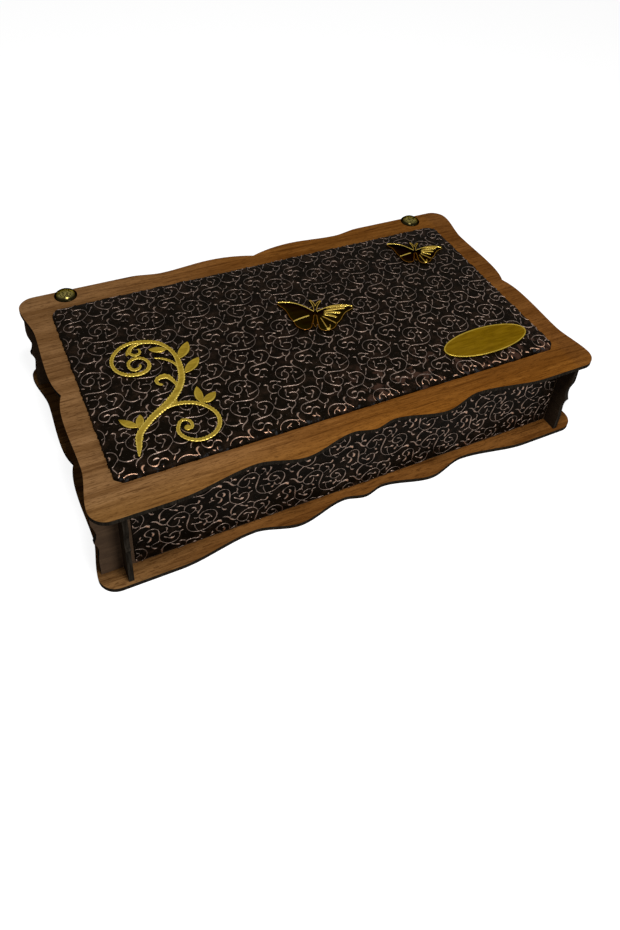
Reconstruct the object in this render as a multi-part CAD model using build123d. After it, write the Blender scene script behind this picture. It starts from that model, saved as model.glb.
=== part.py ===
from build123d import *

import os
from math import cos, radians

os.makedirs("parts", exist_ok=True)

# A hinged box for baklava, laser-cut from walnut-faced board. All sizes are in millimetres.
# X runs along the box, Y from the front to the hinged back, and Z up from the surface it rests on.
# The origin is on that surface, in the middle of the box's outer size.

# Boards and coverings
board = 3.0
leatherette = 0.8
pad_leatherette = 0.6
liner_thickness = 0.8
ornament_thickness = 1.2

# Template of the bottom plate and the lid
plate_length = 340.0
plate_depth = 201.0
plate_corner_radius = 11.0

# Wavy edges, from the middle of an edge to the start of its corner: the place as a share
# of that run, and the depth cut inwards. The slope is that of the dip at the middle.
front_wave = [(0.0, 3.8), (0.088, 6.8), (0.302, 0.0), (0.478, 6.5), (0.786, 0.0), (1.0, 0.0)]
back_wave = [(0.0, 6.3), (0.208, 0.3), (0.440, 3.3), (0.579, 0.0), (1.0, 0.0)]
end_wave = [(0.0, 7.2), (0.302, 3.4), (0.670, 4.4), (1.0, 0.0)]
front_middle_slope = 0.0
back_middle_slope = 0.38
end_middle_slope = 0.42

# Walls: their height, and how far their outer faces stand in from the plates' straight edges
wall_height = 58.0
front_setback = 12.9
back_setback = 17.8
end_setback = 15.3

# Shaped ends of the walls, from the top down: the drop as a share of the wall's height, and
# the distance in from the reach. The nib is the pointed place, with its own slope.
ear_shape = [(0.0, 0.3), (0.17, 0.0), (0.36, 2.3), (0.485, 0.3), (0.62, 2.5), (0.78, 1.6), (1.0, 1.6)]
nib_index = 3
nib_slope = 0.6
ear_inset = 0.8
fin_inset = 0.4

# Joints between the boards
lap_clearance = 0.1
tab_length = 30.0
tab_from_end = 85.0
tab_clearance = 0.2
tab_recess = 0.2

# Leatherette covers on the walls
cover_gap = 0.2
bare_strip = 3.0
liner_gap = 0.5

# Padded panel on the lid
pad_length = 301.4
pad_depth = 156.8
pad_corner_cut = 3.5
pad_edge_radius = 2.0

# Hinges
hinge_from_end = 31.7
leaf_width = 22.0
leaf_thickness = 1.0
wall_leaf_height = 12.0
lid_leaf_reach = 13.0
leaf_corner_radius = 2.0
knuckle_radius = 2.2
pin_radius = 1.1
pin_clearance = 0.06
swing_gap = 0.3
middle_knuckle = 8.0
pin_head_radius = 1.6
pin_head_length = 0.8

# Small rivets of the wall leaves
small_rivet_spread = 7.5
small_rivet_drop = 6.0
small_shank_radius = 1.0
small_head_radius = 2.0
small_head_height = 0.8
small_washer_radius = 3.0
small_washer_thickness = 0.5
small_tail_radius = 1.7
small_tail_height = 0.6

# Dome rivets of the lid leaves
dome_radius = 7.6
dome_height = 4.2
dome_rim = 0.5
dome_from_edge = 5.9
shank_radius = 1.5
washer_radius = 4.0
washer_thickness = 0.6
tail_radius = 2.2
tail_height = 0.9
rivet_clearance = 0.05

# How far a cut runs past the face that it opens
cut_over = 1.0

# Gilt ornaments, placed from the edges or the middle of the pad
scroll_from_left = 15.6
scroll_from_front = 10.9
middle_butterfly_place = (10.2, 9.2)
middle_butterfly_tilt = -25.4
corner_butterfly_from_right = 35.8
corner_butterfly_from_back = 29.0
corner_butterfly_tilt = -26.2
corner_butterfly_scale = 0.82
oval_length = 66.0
oval_width = 24.8
oval_from_right = 44.6
oval_from_front = 21.1
oval_tilt = 0.8
oval_rim_width = 1.0
oval_rim_height = 0.2

# Heights
floor_top = board
lid_bottom = floor_top + wall_height
lid_top = lid_bottom + board
pad_board_top = lid_top + board
pad_top = pad_board_top + pad_leatherette

# The domes stand out past the lid's back edge, so the plates' middle lies that half in front
dome_overhang = dome_radius - dome_from_edge
plate_y = -dome_overhang / 2
half_length = plate_length / 2
half_depth = plate_depth / 2
tab_place = half_length - tab_from_end
hinge_place = half_length - hinge_from_end

# Faces of the walls
front_y = plate_y - half_depth + front_setback
back_y = plate_y + half_depth - back_setback
end_x = half_length - end_setback
inner_x = end_x - board
walls_middle_y = (front_y + back_y) / 2
middle_height = floor_top + wall_height / 2

# Hinge axis, behind the back cover and under the lid
cover_back_y = back_y + leatherette
axis_y = cover_back_y + knuckle_radius + swing_gap
axis_z = lid_bottom - knuckle_radius - swing_gap
bore_radius = pin_radius + pin_clearance
dome_y = plate_y + half_depth - dome_from_edge
small_rivet_z = axis_z - small_rivet_drop
hinge_sides = {"left": -1, "right": 1}


def eased(start, end, leave=0.0, arrive=0.0):
    """A curve from start to end in (along, in) pairs, with the given slopes at its ends."""
    third = (end[0] - start[0]) / 3
    first = (start[0] + third, start[1] + leave * third)
    second = (end[0] - third, end[1] - arrive * third)
    return [start, first, second, end]


def curve_through(pulls, place):
    """The curve of four pull points, or the line between its ends where it is straight."""
    if len({pull[1] for pull in pulls}) == 1:
        return Line(place(*pulls[0]), place(*pulls[-1]))
    return Bezier(*[place(*pull) for pull in pulls])


def outlined(edges):
    """The flat face inside a closed run of edges, facing up."""
    face = Face(Wire(edges))
    return face if face.normal_at().Z > 0 else -face


def wavy_edge(wave, middle_slope, run, place):
    """Both mirrored halves of one wavy edge of a plate."""
    edges = []
    stops = [(share * run, depth) for share, depth in wave]
    for side in (-1, 1):
        for step, (start, end) in enumerate(zip(stops, stops[1:])):
            leave = 0.0 if step else -middle_slope
            pulls = eased(start, end, leave)
            edges.append(curve_through(pulls, lambda along, depth: place(side * along, depth)))
    return edges


def plate_face():
    """The wavy template shared by the bottom plate and the lid, about its own middle."""
    run_x = half_length - plate_corner_radius
    run_y = half_depth - plate_corner_radius
    edges = wavy_edge(front_wave, front_middle_slope, run_x, lambda a, d: (a, d - half_depth))
    edges += wavy_edge(back_wave, back_middle_slope, run_x, lambda a, d: (a, half_depth - d))
    edges += wavy_edge(end_wave, end_middle_slope, run_y, lambda a, d: (d - half_length, a))
    edges += wavy_edge(end_wave, end_middle_slope, run_y, lambda a, d: (half_length - d, a))
    diagonal = plate_corner_radius * cos(radians(45))
    for sx in (-1, 1):
        for sy in (-1, 1):
            middle = (sx * (run_x + diagonal), sy * (run_y + diagonal))
            corner = ThreePointArc((sx * half_length, sy * run_y), middle, (sx * run_x, sy * half_depth))
            edges.append(corner)
    return outlined(edges)


def plate(bottom):
    """The wavy plate with its underside at the given height."""
    return Pos(0, plate_y, bottom) * extrude(plate_face(), board)


def shaped_end(reach, side, bottom, top):
    """The shaped end of a wall, seen square on, from its top to its foot."""
    drop = top - bottom
    stops = [(share * drop, inset) for share, inset in ear_shape]
    edges = []
    for step, (start, end) in enumerate(zip(stops, stops[1:])):
        leave = nib_slope if step == nib_index else 0.0
        arrive = -nib_slope if step + 1 == nib_index else 0.0
        pulls = eased(start, end, leave, arrive)
        edges.append(curve_through(pulls, lambda down, inset: (side * (reach - inset), top - down)))
    return edges


def block(low, high):
    """A box between two opposite corners."""
    size = [b - a for a, b in zip(low, high)]
    middle = [(a + b) / 2 for a, b in zip(low, high)]
    return Pos(*middle) * Box(*size)


def long_wall(outer_y, inward):
    """The front or back wall, with ears, slots for the end walls and tabs. inward is +1 or -1."""
    reach = half_length - ear_inset
    ends = shaped_end(reach, -1, floor_top, lid_bottom) + shaped_end(reach, 1, floor_top, lid_bottom)
    top_reach = reach - ear_shape[0][1]
    foot_reach = reach - ear_shape[-1][1]
    top_edge = Line((-top_reach, lid_bottom), (top_reach, lid_bottom))
    foot_edge = Line((-foot_reach, floor_top), (foot_reach, floor_top))
    outline = outlined(ends + [top_edge, foot_edge])
    far_y = max(outer_y, outer_y + inward * board)
    near_y = far_y - board
    wall = Pos(0, far_y, 0) * extrude(Plane.XZ * outline, board)
    slot = board + lap_clearance
    for side in (-1, 1):
        x = side * (end_x - board / 2)
        wall -= block(
            (x - slot / 2, near_y - cut_over, middle_height),
            (x + slot / 2, far_y + cut_over, lid_bottom + cut_over),
        )
        tab_x = side * tab_place
        tab_low = (tab_x - tab_length / 2, near_y, tab_recess)
        tab_high = (tab_x + tab_length / 2, far_y, middle_height)
        wall += block(tab_low, tab_high)
    return wall


def end_wall(side):
    """An end wall, with its fin in front, flush at the back wall, and one tab."""
    reach = half_depth - fin_inset - plate_y
    fin = shaped_end(reach, -1, floor_top, lid_bottom)
    top_front = -(reach - ear_shape[0][1])
    foot_front = -(reach - ear_shape[-1][1])
    rest = [
        Line((top_front, lid_bottom), (back_y, lid_bottom)),
        Line((back_y, lid_bottom), (back_y, floor_top)),
        Line((back_y, floor_top), (foot_front, floor_top)),
    ]
    outline = outlined(fin + rest)
    low_x = min(side * end_x, side * inner_x)
    wall = Pos(low_x, 0, 0) * extrude(Plane.YZ * outline, board)
    half_gap = lap_clearance / 2
    wall -= block(
        (low_x - cut_over, front_y - half_gap, floor_top - cut_over),
        (low_x + board + cut_over, front_y + board + half_gap, middle_height),
    )
    wall -= block(
        (low_x - cut_over, back_y - board - half_gap, floor_top - cut_over),
        (low_x + board + cut_over, back_y + cut_over, middle_height),
    )
    wall += block(
        (low_x, walls_middle_y - tab_length / 2, tab_recess),
        (low_x + board, walls_middle_y + tab_length / 2, middle_height),
    )
    return wall


def bottom_plate():
    """The bottom plate, with a slot for each tab."""
    base = plate(0)
    half_tab = (tab_length + tab_clearance) / 2
    half_slot = (board + lap_clearance) / 2
    for side in (-1, 1):
        for wall_y in (front_y + board / 2, back_y - board / 2):
            tab_x = side * tab_place
            base -= block(
                (tab_x - half_tab, wall_y - half_slot, -cut_over),
                (tab_x + half_tab, wall_y + half_slot, board + cut_over),
            )
        wall_x = side * (end_x - board / 2)
        base -= block(
            (wall_x - half_slot, walls_middle_y - half_tab, -cut_over),
            (wall_x + half_slot, walls_middle_y + half_tab, board + cut_over),
        )
    return base


def front_cover():
    """Leatherette on the front wall, up to the right fin and short of the left one."""
    left = -inner_x + bare_strip + cover_gap
    return block(
        (left, front_y - leatherette, floor_top + cover_gap),
        (inner_x - cover_gap, front_y, lid_bottom - cover_gap),
    )


def back_cover():
    """Leatherette on the back wall, between the slots of the end walls, holed for the rivets."""
    half = inner_x - cover_gap
    cover = block((-half, back_y, floor_top + cover_gap), (half, cover_back_y, lid_bottom - cover_gap))
    return cover - small_rivet_holes()


def end_cover(side):
    """Leatherette on an end wall, between the ears of the front and back walls."""
    low = min(side * end_x, side * (end_x + leatherette))
    return block(
        (low, front_y + board + cover_gap, floor_top + cover_gap),
        (low + leatherette, back_y - board - cover_gap, lid_bottom - cover_gap),
    )


def floor_liner():
    """A loose card on the floor, inside the walls."""
    half = inner_x - liner_gap
    return block(
        (-half, front_y + board + liner_gap, floor_top),
        (half, back_y - board - liner_gap, floor_top + liner_thickness),
    )


def along_y(radius, length, x, y, z):
    """A round bar along Y that starts at y."""
    return Pos(x, y, z) * Rot(-90, 0, 0) * extrude(Circle(radius), length)


def along_x(radius, length, x, y, z):
    """A round bar along X, centred on x."""
    return Pos(x - length / 2, y, z) * Rot(0, 90, 0) * extrude(Circle(radius), length)


def upright(radius, bottom, top, x, y):
    """A round bar along Z between two heights."""
    return Pos(x, y, bottom) * extrude(Circle(radius), top - bottom)


def small_rivet_places():
    """X of each small rivet, two for each hinge."""
    shifts = (-small_rivet_spread, small_rivet_spread)
    return [side * hinge_place + shift for side in (-1, 1) for shift in shifts]


def small_rivet_holes():
    """Round cuts through the leaf, the cover and the back wall."""
    cuts = Part()
    start = back_y - board - small_washer_thickness - cut_over
    length = cover_back_y + leaf_thickness + cut_over - start
    for x in small_rivet_places():
        cuts += along_y(small_shank_radius + rivet_clearance, length, x, start, small_rivet_z)
    return cuts


def dome_holes():
    """Round cuts through the lid and the lid leaves."""
    cuts = Part()
    low = lid_bottom - leaf_thickness - washer_thickness - cut_over
    for side in (-1, 1):
        x = side * hinge_place
        cuts += upright(shank_radius + rivet_clearance, low, lid_top + cut_over, x, dome_y)
    return cuts


def knuckle(x, length):
    """One rolled knuckle about the hinge axis."""
    return along_x(knuckle_radius, length, x, axis_y, axis_z)


def bore(x):
    """The cut for the pin along a whole hinge."""
    return along_x(bore_radius, leaf_width + 2 * cut_over, x, axis_y, axis_z)


def hinge_wall_leaf(side):
    """The leaf on the back wall, with the middle knuckle."""
    x = side * hinge_place
    outer = cover_back_y + leaf_thickness
    plate_top = axis_z - knuckle_radius - swing_gap
    low_z = axis_z - wall_leaf_height
    leaf = block((x - leaf_width / 2, cover_back_y, low_z), (x + leaf_width / 2, outer, plate_top))
    corners = leaf.edges().filter_by(Axis.Y).group_by(Axis.Z)[0]
    leaf = fillet(corners, leaf_corner_radius)
    leaf += block((x - middle_knuckle / 2, cover_back_y, plate_top), (x + middle_knuckle / 2, outer, axis_z))
    leaf += knuckle(x, middle_knuckle)
    return leaf - bore(x) - small_rivet_holes()


def hinge_lid_leaf(side):
    """The leaf under the lid, with the two outer knuckles."""
    x = side * hinge_place
    inner = axis_y + knuckle_radius + swing_gap
    low_z = lid_bottom - leaf_thickness
    low = (x - leaf_width / 2, inner, low_z)
    high = (x + leaf_width / 2, axis_y + lid_leaf_reach, lid_bottom)
    leaf = block(low, high)
    corners = leaf.edges().filter_by(Axis.Z).group_by(Axis.Y)[-1]
    leaf = fillet(corners, leaf_corner_radius)
    outer_knuckle = (leaf_width - middle_knuckle) / 2 - swing_gap
    for end in (-1, 1):
        knuckle_x = x + end * (leaf_width - outer_knuckle) / 2
        leaf += block(
            (knuckle_x - outer_knuckle / 2, axis_y, low_z),
            (knuckle_x + outer_knuckle / 2, inner, lid_bottom),
        )
        leaf += knuckle(knuckle_x, outer_knuckle)
    return leaf - bore(x) - dome_holes()


def hinge_pin(side):
    """The pin through one hinge, with a small head at each end."""
    x = side * hinge_place
    pin = along_x(pin_radius, leaf_width + 2 * swing_gap, x, axis_y, axis_z)
    for end in (-1, 1):
        head_x = x + end * (leaf_width / 2 + swing_gap + pin_head_length / 2)
        pin += along_x(pin_head_radius, pin_head_length, head_x, axis_y, axis_z)
    return pin


def capped(radius, height, rim):
    """A low dome on a short upright rim, standing on z = 0."""
    rise = height - rim
    ball = (radius**2 + rise**2) / (2 * rise)
    ball_body = Pos(0, 0, height - ball) * Sphere(ball)
    body = extrude(Circle(radius), height)
    return body & ball_body


def dome_rivets():
    """Both dome rivets: dome, shank and clinched tail."""
    rivets = []
    tail_top = lid_bottom - leaf_thickness - washer_thickness
    for side in (-1, 1):
        x = side * hinge_place
        rivet = Pos(x, dome_y, lid_top) * capped(dome_radius, dome_height, dome_rim)
        rivet += upright(shank_radius, tail_top, lid_top, x, dome_y)
        rivet += upright(tail_radius, tail_top - tail_height, tail_top, x, dome_y)
        rivets.append(rivet)
    return Compound(children=[solid for rivet in rivets for solid in rivet.solids()])


def dome_rivet_washers():
    """The washers between the lid leaves and the tails of the dome rivets."""
    washers = []
    top = lid_bottom - leaf_thickness
    for side in (-1, 1):
        x = side * hinge_place
        washer = upright(washer_radius, top - washer_thickness, top, x, dome_y)
        washers += (washer - dome_holes()).solids()
    return Compound(children=washers)


def wall_leaf_rivets():
    """The four small rivets: head outside, shank through the wall and tail inside."""
    rivets = []
    outer = cover_back_y + leaf_thickness
    inside = back_y - board - small_washer_thickness
    for x in small_rivet_places():
        head = capped(small_head_radius, small_head_height, small_head_height / 4)
        rivet = Pos(x, outer, small_rivet_z) * Rot(-90, 0, 0) * head
        rivet += along_y(small_shank_radius, outer - inside, x, inside, small_rivet_z)
        rivet += along_y(small_tail_radius, small_tail_height, x, inside - small_tail_height, small_rivet_z)
        rivets += rivet.solids()
    return Compound(children=rivets)


def wall_rivet_washers():
    """The washers under the tails of the small rivets, inside the box."""
    washers = []
    start = back_y - board - small_washer_thickness
    for x in small_rivet_places():
        washer = along_y(small_washer_radius, small_washer_thickness, x, start, small_rivet_z)
        washers += (washer - small_rivet_holes()).solids()
    return Compound(children=washers)


def pad_core(length, depth, bottom, top, radius):
    """A panel with cut corners and a rounded upper edge."""
    sketch = Rectangle(length, depth)
    sketch = chamfer(sketch.vertices(), pad_corner_cut)
    panel = Pos(0, plate_y, bottom) * extrude(sketch, top - bottom)
    return fillet(panel.edges().group_by(Axis.Z)[-1], radius)


def pad_board():
    """The board inside the padded panel."""
    wrap = 2 * pad_leatherette
    radius = pad_edge_radius - pad_leatherette
    return pad_core(pad_length - wrap, pad_depth - wrap, lid_top, pad_board_top, radius)


def pad_cover():
    """The leatherette that wraps the top and the sides of the pad's board."""
    return pad_core(pad_length, pad_depth, lid_top, pad_top, pad_edge_radius) - pad_board()


def stroke(points, spread=2):
    """A tapering stroke along a smooth line through (x, y, width) points, with round ends."""
    spine = Spline(*[(x, y) for x, y, width in points])
    shares = [spine.param_at_point(Vector(x, y)) for x, y, width in points]
    count = spread * (len(points) - 1)
    left = []
    right = []
    for step in range(count + 1):
        index, part = divmod(step, spread)
        last = min(index + 1, len(points) - 1)
        share = shares[index] + (shares[last] - shares[index]) * part / spread
        width = points[index][2] + (points[last][2] - points[index][2]) * part / spread
        place = spine.position_at(share)
        along = spine.tangent_at(share)
        across = Vector(-along.Y, along.X) * (width / 2)
        left.append(place + across)
        right.append(place - across)
    start = spine.position_at(0) - spine.tangent_at(0) * (points[0][2] / 2)
    finish = spine.position_at(1) + spine.tangent_at(1) * (points[-1][2] / 2)
    edges = [
        Spline(*left),
        ThreePointArc(left[-1], finish, right[-1]),
        Spline(*right),
        ThreePointArc(left[0], start, right[0]),
    ]
    return outlined(edges)


def leaf(base, tip, left_bulge, right_bulge):
    """A pointed leaf: two arcs from its base to its tip, each with its own bulge."""
    middle = Vector((base[0] + tip[0]) / 2, (base[1] + tip[1]) / 2)
    run = Vector(tip[0] - base[0], tip[1] - base[1])
    across = Vector(-run.Y, run.X).normalized()
    edges = [
        ThreePointArc(base, middle + across * left_bulge, tip),
        ThreePointArc(base, middle - across * right_bulge, tip),
    ]
    return outlined(edges)


def dot(x, y, radius):
    """A round blob."""
    return Pos(x, y) * Circle(radius).face()


# The scroll, from the foot of its stem: x, y and width of each stroke
main_stem = [
    (0.0, 0.0, 1.0),
    (3.5, 14.0, 2.8),
    (13.5, 24.0, 3.2),
    (29.5, 35.0, 5.0),
    (36.8, 42.6, 4.5),
    (41.4, 50.4, 4.2),
    (43.8, 60.0, 4.0),
    (44.6, 71.0, 2.9),
    (42.2, 81.0, 2.6),
    (37.8, 87.4, 3.0),
    (31.0, 91.0, 3.8),
    (21.0, 92.9, 2.7),
    (10.8, 87.7, 3.0),
    (6.0, 78.0, 2.7),
    (8.2, 69.0, 2.7),
    (17.3, 63.7, 3.2),
    (25.3, 66.0, 3.0),
    (27.1, 72.4, 2.4),
    (20.3, 78.1, 2.5),
    (15.2, 74.0, 2.2),
    (18.7, 67.9, 2.4),
    (21.8, 71.8, 1.0),
]
lower_arch = [
    (21.0, 29.0, 3.0),
    (34.5, 30.5, 3.4),
    (46.5, 23.5, 3.2),
    (50.5, 10.0, 3.2),
    (42.5, 0.0, 3.6),
    (30.5, 1.0, 3.2),
    (26.0, 12.0, 2.8),
    (32.0, 17.0, 2.3),
    (34.0, 9.2, 1.8),
]
inner_branch = [
    (31.0, 90.8, 2.0),
    (24.0, 90.2, 2.6),
    (20.2, 87.9, 2.6),
    (18.8, 84.4, 1.9),
    (22.0, 80.9, 2.2),
    (25.3, 83.6, 1.5),
    (24.4, 86.2, 0.9),
]
upper_tendril = [(43.0, 60.3, 1.8), (41.5, 65.5, 1.8), (36.8, 71.3, 1.6), (31.6, 74.1, 1.0)]
lower_curl = [
    (37.1, 43.9, 2.2),
    (36.4, 49.4, 2.2),
    (31.7, 56.3, 4.2),
    (26.6, 52.6, 2.0),
    (29.5, 49.5, 1.5),
]
scroll_strokes = [main_stem, lower_arch, inner_branch, upper_tendril, lower_curl]
# Base, tip and the bulge to each side of the way from base to tip
scroll_leaves = [
    ((41.8, 79.4), (30.5, 83.2), 2.9, 2.4),
    ((21.6, 89.9), (16.1, 82.2), 1.8, 1.6),
    ((45.0, 67.8), (56.1, 81.8), 2.7, 4.0),
    ((44.6, 54.2), (57.8, 65.1), 3.1, 3.4),
    ((6.5, 21.0), (-3.0, 31.0), 3.0, 2.0),
    ((6.0, 20.0), (9.5, 30.5), 2.2, 2.6),
    ((46.0, 25.5), (47.5, 40.5), 3.2, 2.0),
    ((46.0, 26.0), (56.5, 32.0), 2.4, 3.4),
]
scroll_dots = [(31.6, 10.4, 2.1), (4.9, 12.5, 1.3), (30.6, 34.4, 2.6)]


def scroll_ornament():
    """The gilt scroll: strokes, leaves and dots in one flat piece."""
    shape = Sketch() + [stroke(points) for points in scroll_strokes]
    shape += [leaf(*sizes) for sizes in scroll_leaves]
    shape += [dot(*sizes) for sizes in scroll_dots]
    foot_x = -pad_length / 2 + scroll_from_left
    foot_y = plate_y - pad_depth / 2 + scroll_from_front
    return Pos(foot_x, foot_y, pad_top) * extrude(shape, ornament_thickness)


# Half of a butterfly, from its middle: x across and y forward
wing_lead = [(0.9, 2.2), (6.1, 7.1), (15.3, 10.9), (24.8, 10.7)]
wing_tip = (26.2, 9.4)
wing_trail = [(25.8, 7.5), (19.5, 2.1), (17.1, -4.6), (13.7, -9.0)]
hind_wing = [(13.7, -9.0), (12.8, -13.1), (8.5, -16.9), (3.4, -16.4), (1.5, -12.0), (0.9, -4.8)]
body_half_width = 1.4
body_half_length = 9.1
body_middle = -4.6
antenna = [(0.4, 3.0, 1.1), (0.9, 8.0, 1.0), (3.3, 14.0, 1.0)]
antenna_tip = (3.5, 14.6, 0.9)


def butterfly_face():
    """Both wings, the body and the antennae of a full-size butterfly."""
    edges = [
        Spline(*wing_lead),
        ThreePointArc(wing_lead[-1], wing_tip, wing_trail[0]),
        Spline(*wing_trail),
        Spline(*hind_wing),
        Line(hind_wing[-1], wing_lead[0]),
    ]
    half = Sketch() + [outlined(edges), stroke(antenna), dot(*antenna_tip)]
    body = Pos(0, body_middle) * Ellipse(body_half_width, body_half_length)
    return half + mirror(half, Plane.YZ) + body


def butterfly(x, y, tilt, size):
    """A gilt butterfly of the given size, its middle at x, y and turned by tilt degrees."""
    shape = scale(butterfly_face(), size)
    return Pos(x, y, pad_top) * Rot(0, 0, tilt) * extrude(shape, ornament_thickness)


def middle_butterfly():
    """The larger butterfly, near the middle of the pad."""
    x, y = middle_butterfly_place
    return butterfly(x, plate_y + y, middle_butterfly_tilt, 1.0)


def corner_butterfly():
    """The smaller butterfly, in the back right corner of the pad."""
    x = pad_length / 2 - corner_butterfly_from_right
    y = plate_y + pad_depth / 2 - corner_butterfly_from_back
    return butterfly(x, y, corner_butterfly_tilt, corner_butterfly_scale)


def oval_plate():
    """A bare oval plate with a raised rim, in the front right corner of the pad."""
    x = pad_length / 2 - oval_from_right
    y = plate_y - pad_depth / 2 + oval_from_front
    plaque = extrude(Ellipse(oval_length / 2, oval_width / 2), ornament_thickness)
    field = Ellipse(oval_length / 2 - oval_rim_width, oval_width / 2 - oval_rim_width)
    plaque -= Pos(0, 0, ornament_thickness - oval_rim_height) * extrude(field, ornament_thickness)
    return Pos(x, y, pad_top) * Rot(0, 0, oval_tilt) * plaque


def write(name, shape):
    """Write one sub-part as its own file."""
    export_step(shape, f"parts/{name}.step")


write("bottom_plate", bottom_plate())
write("front_wall", long_wall(front_y, 1))
write("back_wall", long_wall(back_y, -1) - small_rivet_holes())
write("left_end_wall", end_wall(-1))
write("right_end_wall", end_wall(1))
write("front_wall_cover", front_cover())
write("back_wall_cover", back_cover())
write("left_end_cover", end_cover(-1))
write("right_end_cover", end_cover(1))
write("floor_liner", floor_liner())
write("lid_plate", plate(lid_bottom) - dome_holes())
write("pad_board", pad_board())
write("pad_cover", pad_cover())
write("scroll_ornament", scroll_ornament())
write("middle_butterfly", middle_butterfly())
write("corner_butterfly", corner_butterfly())
write("oval_plate", oval_plate())
write("dome_rivets", dome_rivets())
write("dome_rivet_washers", dome_rivet_washers())
write("wall_leaf_rivets", wall_leaf_rivets())
write("wall_rivet_washers", wall_rivet_washers())
for name, side in hinge_sides.items():
    write(f"hinge_wall_leaf_{name}", hinge_wall_leaf(side))
    write(f"hinge_lid_leaf_{name}", hinge_lid_leaf(side))
    write(f"hinge_pin_{name}", hinge_pin(side))
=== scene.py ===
# %% [markdown]
# # A hinged box for baklava
# The box is laser-cut from thin walnut-faced board. A board wrapped in embossed leatherette lies
# on its lid, with gilt ornaments on it, and the same leatherette covers its walls. The boards,
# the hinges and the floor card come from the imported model, which is loaded here and never
# changed. Everything that has relief finer than that model is made below and rides on the body
# that carries it, so that the lid opens with all that lies on it.

import bmesh
import bpy
import numpy as np
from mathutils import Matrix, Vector


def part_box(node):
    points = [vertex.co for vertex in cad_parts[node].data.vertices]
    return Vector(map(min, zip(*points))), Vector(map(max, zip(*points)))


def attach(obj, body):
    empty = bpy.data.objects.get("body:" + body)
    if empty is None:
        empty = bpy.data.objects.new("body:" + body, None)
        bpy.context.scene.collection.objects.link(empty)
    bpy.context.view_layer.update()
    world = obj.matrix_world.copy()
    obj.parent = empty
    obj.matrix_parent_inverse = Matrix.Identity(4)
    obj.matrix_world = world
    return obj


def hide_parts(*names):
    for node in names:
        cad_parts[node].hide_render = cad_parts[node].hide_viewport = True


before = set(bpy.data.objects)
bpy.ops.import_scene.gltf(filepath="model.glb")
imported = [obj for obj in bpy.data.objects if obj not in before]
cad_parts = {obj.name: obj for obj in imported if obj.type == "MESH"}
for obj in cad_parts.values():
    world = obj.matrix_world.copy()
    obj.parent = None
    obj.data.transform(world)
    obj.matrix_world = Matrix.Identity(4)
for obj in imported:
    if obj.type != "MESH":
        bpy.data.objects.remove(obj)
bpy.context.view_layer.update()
mm = 0.001
print("packed nodes:", len(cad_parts))

# %% [markdown]
# ## Camera
# The photograph was taken with a phone held over the front left of the box. Its place, its turn
# and its lens were worked out from the corners of the plates, so the picture lines up with it.
# A short lens close to the box gives the strong narrowing towards the back. The box lies in the
# upper part of a tall picture, which a small lens shift repeats.

# %% Set the camera
camera_place = Vector((-200.9, -372.7, 419.0)) * mm
camera_turn = np.radians((50.54, -4.52, -26.82))
camera_settings = {
    "lens": 31.68,
    "sensor_width": 36.0,
    "shift_x": -0.0233,
    "shift_y": -0.1528,
    "clip_start": 0.01,
}
camera_data = bpy.data.cameras.new("camera")
for setting, value in camera_settings.items():
    setattr(camera_data, setting, value)
camera = bpy.data.objects.new("camera", camera_data)
camera.location = camera_place
camera.rotation_euler = camera_turn
bpy.context.scene.collection.objects.link(camera)
bpy.context.scene.camera = camera
print("camera at", tuple(round(c, 3) for c in camera_place))

# %% [markdown]
# ## Floor and light
# The box stands on a plain white floor. A softbox hangs over the front left, close enough for
# its light to fall off towards the back right, and high enough to leave the sides under the lid
# in shadow, as in the photograph. A second one, low in front, lights the front wall. Where the
# floor or the world is seen straight on or in a reflection it is white, while its real light on
# the box stays moderate, so that colours render as written.

# %% Build the floor, the world and the softboxes
floor_half = 6.0
floor_grey = 0.36
floor_glow = 0.88
floor_roughness = 0.9
world_level = 0.13
# Where each softbox hangs, what it points at, its side in metres and its power in watts
softboxes = {
    "key": ((-0.08, -0.25, 0.82), (-0.02, -0.02, 0.05), 0.18, 4.9),
    "front_fill": ((0.30, -1.15, 0.50), (0.0, 0.0, 0.03), 0.5, 6.0),
}


def new_object(name, mesh):
    """Link a mesh to the scene as an object at the origin."""
    piece = bpy.data.objects.new(name, mesh)
    bpy.context.scene.collection.objects.link(piece)
    return piece


def white_when_seen(nodes, links):
    """One where a ray comes from the camera, a mirror or glass, and nought elsewhere."""
    path = nodes.new("ShaderNodeLightPath")
    seen = path.outputs["Is Camera Ray"]
    for ray in ("Is Glossy Ray", "Is Transmission Ray"):
        either = nodes.new("ShaderNodeMath")
        either.operation = "MAXIMUM"
        links.new(seen, either.inputs[0])
        links.new(path.outputs[ray], either.inputs[1])
        seen = either.outputs[0]
    return seen


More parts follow.
